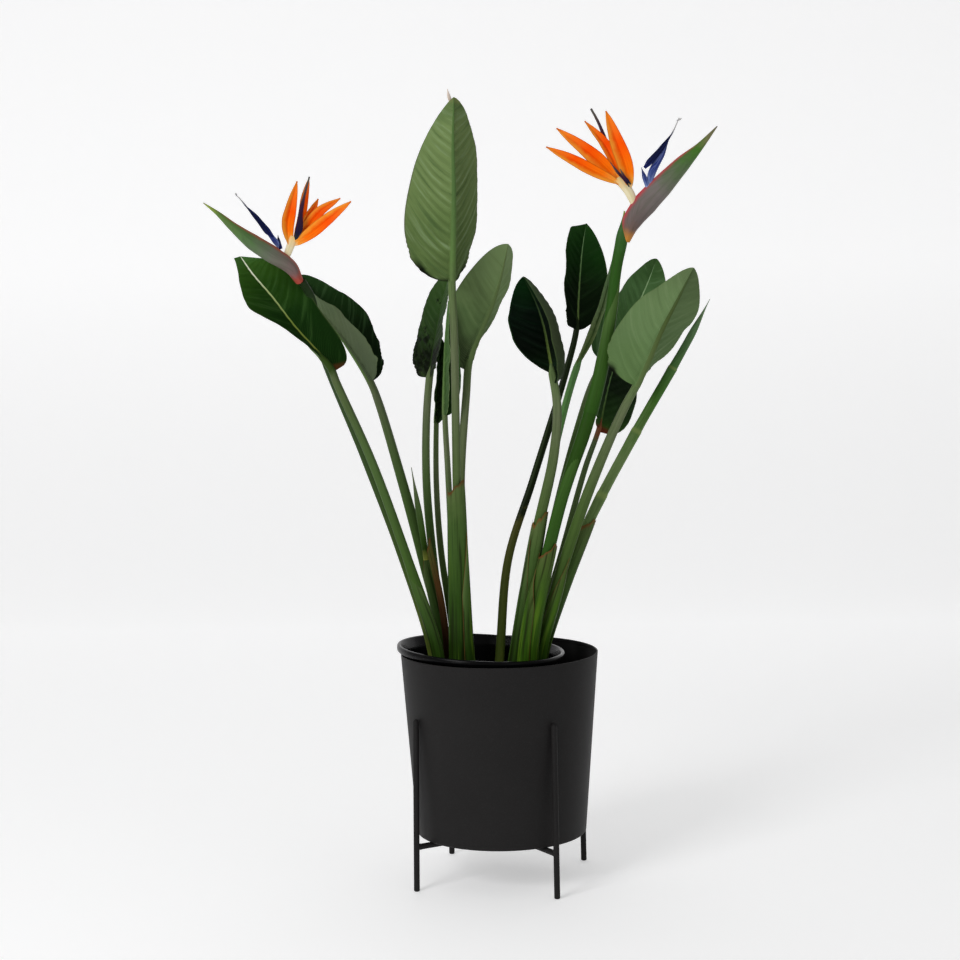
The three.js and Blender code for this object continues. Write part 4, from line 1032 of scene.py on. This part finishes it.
LEFT_SEPALS = [
    ([[-264, -108, 867], [-266.5, -110, 893.7], [-261.5, -115, 915.4], [-251.8, -119, 949]], 9.5, (20, 20)),
    ([[-260.7, -106, 867], [-249.8, -104, 906.5], [-244.9, -102, 932.2], [-238, -100, 953.9]], 7.8, (48, 48)),
    ([[-260.7, -104, 867], [-243.9, -102, 897.6], [-236, -98, 911.5], [-227.1, -94, 927.3]], 7, (30, 30)),
    ([[-260.7, -105, 867], [-240, -105, 891.7], [-223.2, -105, 911.4], [-197.5, -104, 927.2]], 8, (-20, 10)),
    ([[-260.7, -107, 867], [-235, -110, 883.8], [-210.3, -114, 902.6], [-182.7, -118, 922.3]], 9, (0, 0)),
]

flower(
    "left",
    scape=([[-86, -5, 240], [-93, -10, 318], [-132, -23, 455], [-178, -37, 588], [-233.7, -60, 744],
            [-241, -58, 796], [-252, -85, 822]], [6, 5.5, 5.5, 5.5, 5.5, 5.5, 5.5]),
    bracts=(),
    scape_looks=[stalk_face("scape_left", "0 #7d8238, 0.25 #3a4f1c, 0.6 #34482a, 1 #22331c", seed=19.0)],
    spathe=([[-254.5, -86, 821], [-265, -102, 840.4], [-287.1, -120, 856.9], [-310, -129, 872.4],
             [-333.3, -133, 891.1], [-353.9, -135, 909.6], [-370.9, -136, 922.4]],
            [5.5, 9.5, 11.6, 10.6, 6.2, 2.8, 0.6], 9),
    upper=1,
    spathe_look=spathe_face(
        "spathe_left",
        "0 #8a5a58, 0.15 #7f6a68, 0.35 #6a6f60, 0.55 #4f7040, 0.8 #5c7a38, 0.95 #8c9c3c, 1 #8a8a5a",
        0.25, "#a8503c", "#b84c3c"),
    neck=([[-270.6, -106, 849.2], [-265.6, -106, 861.1], [-258.7, -106, 878.9]], [4, 5, 6]),
    sepals=LEFT_SEPALS,
    lobe=[[-284.4, -116, 877.9], [-292.3, -118, 886.8], [-304.1, -122, 902.5], [-318.9, -125, 919.3]],
    blade=([[-275.5, -110, 863.1], [-281.4, -114, 871.9], [-291.3, -117, 884.8], [-305.1, -121, 901.6]],
           [2.6, 3.6, 2.6, 0.6]),
    barb=([[-275.5, -111, 863.1], [-277.5, -113, 871.9], [-278.5, -114, 880.8]], [2.6, 2.4, 0.4]),
    barb_slot=0,
    thread=[[-317.9, -125, 918.3], [-324.8, -126, 927.2], [-330.8, -127, 933.2]],
    knob=[[-328.8, -127, 931.2], [-330.8, -127, 935.1]],
    pistil=([[-257.7, -108, 873], [-250.8, -114, 888.8], [-247.8, -117, 910.5], [-241.9, -117, 934.2],
             [-236, -115, 954.9]], [2.4, 4.6, 3.0, 1.6, 1.1]),
)
flower(
    "right",
    scape=([[38, -34, 240], [42, -34, 330], [82, -33, 510], [121, -35, 624], [142, -36, 702],
            [155, -38, 777], [163, -40, 835], [170, -42, 870], [174, -44, 908]],
           [7, 7, 7.5, 9, 9, 7.5, 7.5, 8, 1]),
    bracts=((0.2, 0.46, 70, 8.5), (0.4, 0.72, 60, 9.8)),
    scape_looks=[
        stalk_face("scape_right",
                   "0 #6b7030, 0.25 #26440f, 0.5 #2c5216, 0.8 #30591f, 0.95 #3f6636, 1 #8a9a40", seed=20.0),
        stalk_face("bract_right", "0 #2c5216, 0.6 #3c5f24, 1 #4f6c36", seed=21.0),
    ],
    spathe=([[175, -40, 868], [183, -43, 893], [201, -46, 917], [223, -49, 940], [252, -52, 970],
             [272, -55, 989], [296, -58, 1016]], [6, 13, 16.4, 15, 10.6, 5.4, 0.6], 11),
    upper=-1,
    spathe_look=spathe_face(
        "spathe_right",
        "0 #7a5a4a, 0.2 #6e605e, 0.45 #77706c, 0.62 #566e46, 0.8 #467626, 0.93 #7a7a50, 1 #5a4a44",
        0.75, "#c8404c", "#d08a34"),
    neck=([[190, -46, 908], [181, -46, 931], [166, -46, 952]], [4, 6, 7]),
    sepals=[
        ([[170, -48, 943], [134, -53, 960], [104, -57, 976], [71, -62, 992]], 8.5, (0, 0)),
        ([[172, -46, 940], [146, -48, 968], [122, -50, 989], [85, -52, 1017]], 11, (0, 0)),
        ([[172, -46, 940], [158, -43, 978], [147, -39, 998], [123, -36, 1027]], 9, (20, 20)),
        ([[182, -48, 936], [175, -51, 968], [163, -55, 1000], [150, -58, 1038]], 11.5, (0, 0)),
    ],
    lobe=[[200, -58, 963], [207, -59, 971], [222, -62, 988], [237, -65, 1008]],
    blade=([[205, -50, 938], [210.5, -54, 958], [221.5, -58, 978], [232, -63, 1000]], [2.8, 5.2, 4.2, 0.8]),
    barb=([[205, -51, 938], [200.5, -54, 950], [196, -56, 964]], [3.2, 3.2, 0.4]),
    barb_slot=1,
    thread=[[235, -65, 1005], [240, -66, 1015], [245, -67, 1027]],
    knob=[[242, -66, 1023], [249, -67, 1026]],
    pistil=([[167, -41, 948], [160, -41, 973], [150, -38, 1002], [141, -32, 1026], [132, -26, 1044]],
            [2.4, 3.0, 2.6, 1.9, 1.5]),
    slips=([[180, -53, 939], [174, -53, 949], [165, -55, 958], [155, -58, 971]],
           [[182, -57, 942], [174, -58, 951], [168, -59, 962]]),
)


# Holder: a welded wire stand, a coated steel planter, and a nursery pot with its soil

ROD_RADIUS = 4.0
FOOT_ROUNDING = ((0, 1.0), (0.5, 0.35), (1.2, 0.0))
LEG_HEIGHT = 235.0
LEG_SPLAY = 3.0
LEG_ANGLES = (32, 122, 212, 302)
WELD_LENGTH = 9.0
WELD_SWELL = 0.07
BEAD_SWELL = 0.28
BEAD_WIDTH = 1.6
GAP = 0.3
BASE_RADIUS = 116.5
SHEET = 1.5
TURNS = 160
BEND_STEPS = 7
HUB_RADIUS = 20.0


def wall_radius(z):
    return mix(BASE_RADIUS, RIM_RADIUS, (z - BASE_HEIGHT) / (RIM_HEIGHT - BASE_HEIGHT))


def leg_radius(z):
    """How far a leg's axis lies from the planter's at a height."""
    return wall_radius(LEG_HEIGHT) + GAP + ROD_RADIUS + LEG_SPLAY * (1 - z / LEG_HEIGHT)


def softened(corners):
    """A profile through corners of (radius, height, softness), with a short curve at each soft one."""
    points = []
    for i, (r, z, soft) in enumerate(corners):
        corner = np.array([r, z], float)
        if not soft:
            points.append(corner)
            continue
        before = corner + unit(np.array(corners[i - 1][:2]) - corner) * soft
        after = corner + unit(np.array(corners[i + 1][:2]) - corner) * soft
        for t in np.linspace(0, 1, BEND_STEPS):
            points.append((1 - t) ** 2 * before + 2 * t * (1 - t) * corner + t * t * after)
    return np.array(points)


def turned(piece, corners, centre=(0, 0)):
    """Adds a turned body about an upright axis: out along its foot, up its wall and down again inside."""
    profile = softened(corners)
    rings = circle(TURNS)[None] * profile[:, :1, None] + np.array([*centre, 0.0])
    rings[:, :, 2] = profile[:, 1:]
    run = np.concatenate([[0], np.cumsum(np.linalg.norm(np.diff(profile, axis=0), axis=1))])
    tube(piece, rings, run / run[-1], run)


def stand():
    """Four splayed legs with domed ends, and two crossed bars that carry the planter, welded to the legs."""
    piece = Piece()
    ring = circle(RING_SIDES)
    directions = [np.array([math.cos(a), math.sin(a), 0.0]) for a in np.radians(LEG_ANGLES)]
    dome = np.linspace(0, np.pi / 2, 8)[1:]
    shoulder = LEG_HEIGHT - ROD_RADIUS
    profile = [(z, ROD_RADIUS - less) for z, less in FOOT_ROUNDING]
    profile += [(z, ROD_RADIUS) for z in np.linspace(4, shoulder, 40)]
    profile += [(shoulder + ROD_RADIUS * math.sin(a), ROD_RADIUS * math.cos(a) + 0.02) for a in dome]
    heights = np.array([z for z, _ in profile])
    for out in directions:
        rings = [out * leg_radius(z) + UP * z + ring * radius for z, radius in profile]
        tube(piece, np.array(rings), heights / LEG_HEIGHT, heights)
    bar_height = BASE_HEIGHT - GAP - ROD_RADIUS
    reach = leg_radius(bar_height)
    weld = np.linspace(reach - WELD_LENGTH, reach, 10)
    away = np.concatenate([-weld[::-1], np.linspace(-reach + 14, reach - 14, 20), weld])
    for out in directions[:2]:
        around = ring[:, :1] * np.cross(out, UP) - ring[:, 1:2] * UP
        rings = []
        for x in away:
            bead = BEAD_SWELL * hump(reach - abs(x), ROD_RADIUS + 0.6, BEAD_WIDTH)
            rings.append(out * x + UP * bar_height + around * ROD_RADIUS * (1 + min(bead, WELD_SWELL)))
        tube(piece, np.array(rings), (away + reach) / (2 * reach), away + reach)
    piece.build("stand", coated_steel())


def planter():
    piece = Piece()
    rim = RIM_HEIGHT
    floor = BASE_HEIGHT + SHEET
    turned(piece, [
        (HUB_RADIUS, BASE_HEIGHT, 0), (BASE_RADIUS, BASE_HEIGHT, 3.0), (RIM_RADIUS - 0.3, rim - 4, 0.8),
        (RIM_RADIUS, rim, 0.75), (RIM_RADIUS - 2.2, rim, 0.75), (RIM_RADIUS - 2.3, rim - 3.6, 0.6),
        (wall_radius(rim - 5) - SHEET, rim - 5, 0.5), (wall_radius(floor) - SHEET, floor, 2),
        (HUB_RADIUS, floor, 0),
    ])
    piece.build("planter", coated_steel())


POT_CENTRE = (-25.0, 4.0)
POT_FOOT = BASE_HEIGHT + SHEET + GAP
LIP_FOOT = RIM_HEIGHT + GAP
POT_BASE_RADIUS = 88.0
POT_TOP_RADIUS = 106.5
LIP_SLOPE = 0.06
LIP_PIVOT_X = -85.0
POT_WALL = 1.8
SOIL_HEIGHT = 284.0
SOIL_CROWN = 5.0
SOIL_FOOT = POT_FOOT + POT_WALL + GAP
SOIL_RUN = 400.0
CROWN_RINGS = 61
CHIPS = 260
CHIP_SIZES = (1.2, 4.2)
CHIP_SIDES = 10
CHIP_LAYERS = 7


def pot_radius(z):
    return mix(POT_BASE_RADIUS, POT_TOP_RADIUS, (z - POT_FOOT) / (LIP_FOOT - POT_FOOT))


def skewed(points):
    """The pot sits askew: its foot is flat, and its lip and its soil slope down to the right."""
    share = (points[..., 2] - POT_FOOT) / (LIP_FOOT - POT_FOOT)
    points[..., 2] -= LIP_SLOPE * (points[..., 0] - LIP_PIVOT_X) * share
    return points


def nursery_pot():
    """A thin glossy pot whose rolled lip rests on the planter's rim at one side and hangs inside it at the
    other."""
    piece = Piece()
    lip = LIP_FOOT
    floor = POT_FOOT + POT_WALL
    turned(piece, [
        (HUB_RADIUS, POT_FOOT, 0), (POT_BASE_RADIUS, POT_FOOT, 2.5), (POT_TOP_RADIUS, lip, 0.8),
        (114.7, lip, 1.2), (115.5, lip + 4, 1.6), (114.5, lip + 8.8, 2.0), (110.4, lip + 9, 1.8),
        (108.0, lip + 4, 2.2), (104.7, lip - 4, 2.4), (POT_BASE_RADIUS - POT_WALL, floor, 1.5),
        (HUB_RADIUS, floor, 0),
    ], POT_CENTRE)
    piece.points = [skewed(points) for points in piece.points]
    piece.build("nursery_pot", pot_plastic())


def soil_surface(x, y, edge):
    """The height of the soil at a point about the pot's centre: a low crown with hollows and lumps."""
    share = 1 - min(math.hypot(x, y) / edge, 1)
    bumps = math.sin(x / 11) * math.cos(y / 9)
    lumps = 1.6 * noise.noise(Vector((x, y, 3.0)) / 14) + 0.9 * noise.noise(Vector((x, y, 9.0)) / 4.5)
    return SOIL_HEIGHT + share * SOIL_CROWN + 2 * share * bumps + lumps * smooth(0, 0.04, share)


def strew_chips(piece, edge):
    """Adds small flat pieces of bark, scattered over the soil out to its edge."""
    rng = random.Random(31)
    level = np.linspace(-1, 1, CHIP_LAYERS)[:, None, None]
    ball = circle(CHIP_SIDES) * np.sqrt(np.clip(1.02 - level ** 2, 0.02, 1)) + UP * level
    for _ in range(CHIPS):
        away = edge * 0.95 * math.sqrt(rng.random())
        angle = rng.uniform(0, 2 * math.pi)
        x, y = away * math.cos(angle), away * math.sin(angle)
        size = rng.uniform(*CHIP_SIZES)
        lumps = np.array([[[rng.uniform(0.72, 1.2)] for _ in range(CHIP_SIDES)] for _ in range(CHIP_LAYERS)])
        chip = ball * lumps * [size, size * rng.uniform(0.4, 0.8), size * rng.uniform(0.2, 0.45)]
        tilt = Matrix.Rotation(rng.uniform(-0.5, 0.5), 3, "X") @ Matrix.Rotation(rng.uniform(0, 6.28), 3, "Z")
        at = np.array([x + POT_CENTRE[0], y + POT_CENTRE[1], soil_surface(x, y, edge) + 0.5])
        run = np.linspace(0, 1, CHIP_LAYERS)
        tube(piece, skewed(chip @ np.array(tilt) + at), run, run * 8, 1)


def soil():
    """Compost with a crumbly top, strewn with bark."""
    piece = Piece()
    inset = POT_WALL + GAP
    foot, edge = pot_radius(SOIL_FOOT) - inset, pot_radius(SOIL_HEIGHT) - inset
    ring = circle(TURNS)
    rings = [ring * foot * 0.2 + UP * SOIL_FOOT]
    for t in np.linspace(0, 1, 6):
        rings.append(ring * mix(foot, edge, t) + UP * mix(SOIL_FOOT, SOIL_HEIGHT, t))
    for share in np.linspace(1, 0.03, CROWN_RINGS + 1)[1:]:
        row = ring * edge * share
        row[:, 2] = [soil_surface(x, y, edge) for x, y, _ in row]
        rings.append(row)
    run = np.linspace(0, 1, len(rings))
    tube(piece, skewed(np.array(rings) + [*POT_CENTRE, 0]), run, run * SOIL_RUN)
    strew_chips(piece, edge)
    piece.build("soil", soil_face(), chip_face())


stand()
planter()
nursery_pot()
soil()


# Stage, light and camera. The stage and the lamps are in metres.

STAGE_NEAR = -5.0
STAGE_FAR = 2.2
STAGE_TOP = 4.5
STAGE_HALF_WIDTH = 6.0
SWEEP_RADIUS = 0.9
STAGE_COLOUR = (0.86, 0.86, 0.865, 1)
STAGE_GLOW = 0.37
WHITE = (1, 1, 1, 1)
SKY_STRENGTH = 0.32
LIT_SPOT = (0, 0, 0.5)
KEY_LIGHT = dict(place=(-2.0, -2.75, 2.2), size=1.3, watts=59)
FILL_LIGHT = dict(place=(2.4, -2.2, 1.4), size=1.6, watts=1.5)


def stage():
    """A pale floor that sweeps up into a backdrop."""
    profile = [(STAGE_NEAR, 0.0), (STAGE_NEAR / 2, 0.0), (0.0, 0.0), (STAGE_FAR, 0.0)]
    for angle in np.linspace(0, math.pi / 2, 24)[1:]:
        profile.append((STAGE_FAR + SWEEP_RADIUS * math.sin(angle), SWEEP_RADIUS * (1 - math.cos(angle))))
    profile.append((STAGE_FAR + SWEEP_RADIUS, STAGE_TOP))
    points = [(x, y, z) for y, z in profile for x in (-STAGE_HALF_WIDTH, STAGE_HALF_WIDTH)]
    faces = [(2 * i, 2 * i + 1, 2 * i + 3, 2 * i + 2) for i in range(len(profile) - 1)]
    mesh = bpy.data.meshes.new("stage")
    mesh.from_pydata(points, [], faces)
    mesh.polygons.foreach_set("use_smooth", [True] * len(faces))
    s = Shader("stage", 0.15, 0.7)
    s.surface.inputs["Base Color"].default_value = STAGE_COLOUR
    s.surface.inputs["Emission Color"].default_value = WHITE
    s.surface.inputs["Emission Strength"].default_value = STAGE_GLOW
    mesh.materials.append(s.material)
    sweep = bpy.data.objects.new("stage", mesh)
    bpy.context.scene.collection.objects.link(sweep)


def area_light(name, place, size, watts):
    data = bpy.data.lights.new(name, "AREA")
    data.size = size
    data.energy = watts
    lamp = bpy.data.objects.new(name, data)
    lamp.location = place
    lamp.rotation_euler = (Vector(LIT_SPOT) - Vector(place)).to_track_quat("-Z", "Y").to_euler()
    bpy.context.scene.collection.objects.link(lamp)


def lights():
    world = bpy.context.scene.world or bpy.data.worlds.new("studio")
    bpy.context.scene.world = world
    world.use_nodes = True
    background = world.node_tree.nodes.get("Background") or world.node_tree.nodes.new("ShaderNodeBackground")
    background.inputs["Color"].default_value = WHITE
    background.inputs["Strength"].default_value = SKY_STRENGTH
    area_light("key", **KEY_LIGHT)
    area_light("fill", **FILL_LIGHT)


CAMERA_AT = (0.0, -2784.0, 789.0)
CAMERA_PITCH = 4.92
CAMERA_YAW = -0.471
CAMERA_ROLL = -0.86
FOCAL_PIXELS = 2053.0
IMAGE_PIXELS = 960.0
SENSOR_WIDTH = 36.0
CLIP_END = 30.0


def camera():
    """The camera at the photograph's viewing angle, from the fitted place, pitch, yaw and roll."""
    data = bpy.data.cameras.new("camera")
    data.sensor_width = SENSOR_WIDTH
    data.sensor_fit = "HORIZONTAL"
    data.lens = FOCAL_PIXELS / IMAGE_PIXELS * SENSOR_WIDTH
    data.clip_end = CLIP_END
    pitch, yaw, roll = (math.radians(a) for a in (CAMERA_PITCH, CAMERA_YAW, CAMERA_ROLL))
    ahead = Vector((math.sin(yaw) * math.cos(pitch), math.cos(yaw) * math.cos(pitch), -math.sin(pitch)))
    level = ahead.cross(Vector((0, 0, 1))).normalized()
    upright = level.cross(ahead)
    right = math.cos(roll) * level + math.sin(roll) * upright
    up = math.cos(roll) * upright - math.sin(roll) * level
    view = bpy.data.objects.new("camera", data)
    place = Matrix.Translation(np.array(CAMERA_AT) * MM + AXIS)
    view.matrix_world = place @ Matrix([right, up, -ahead]).transposed().to_4x4()
    bpy.context.scene.collection.objects.link(view)
    bpy.context.scene.camera = view


stage()
lights()
camera()
bpy.context.scene.view_settings.view_transform = "Standard"
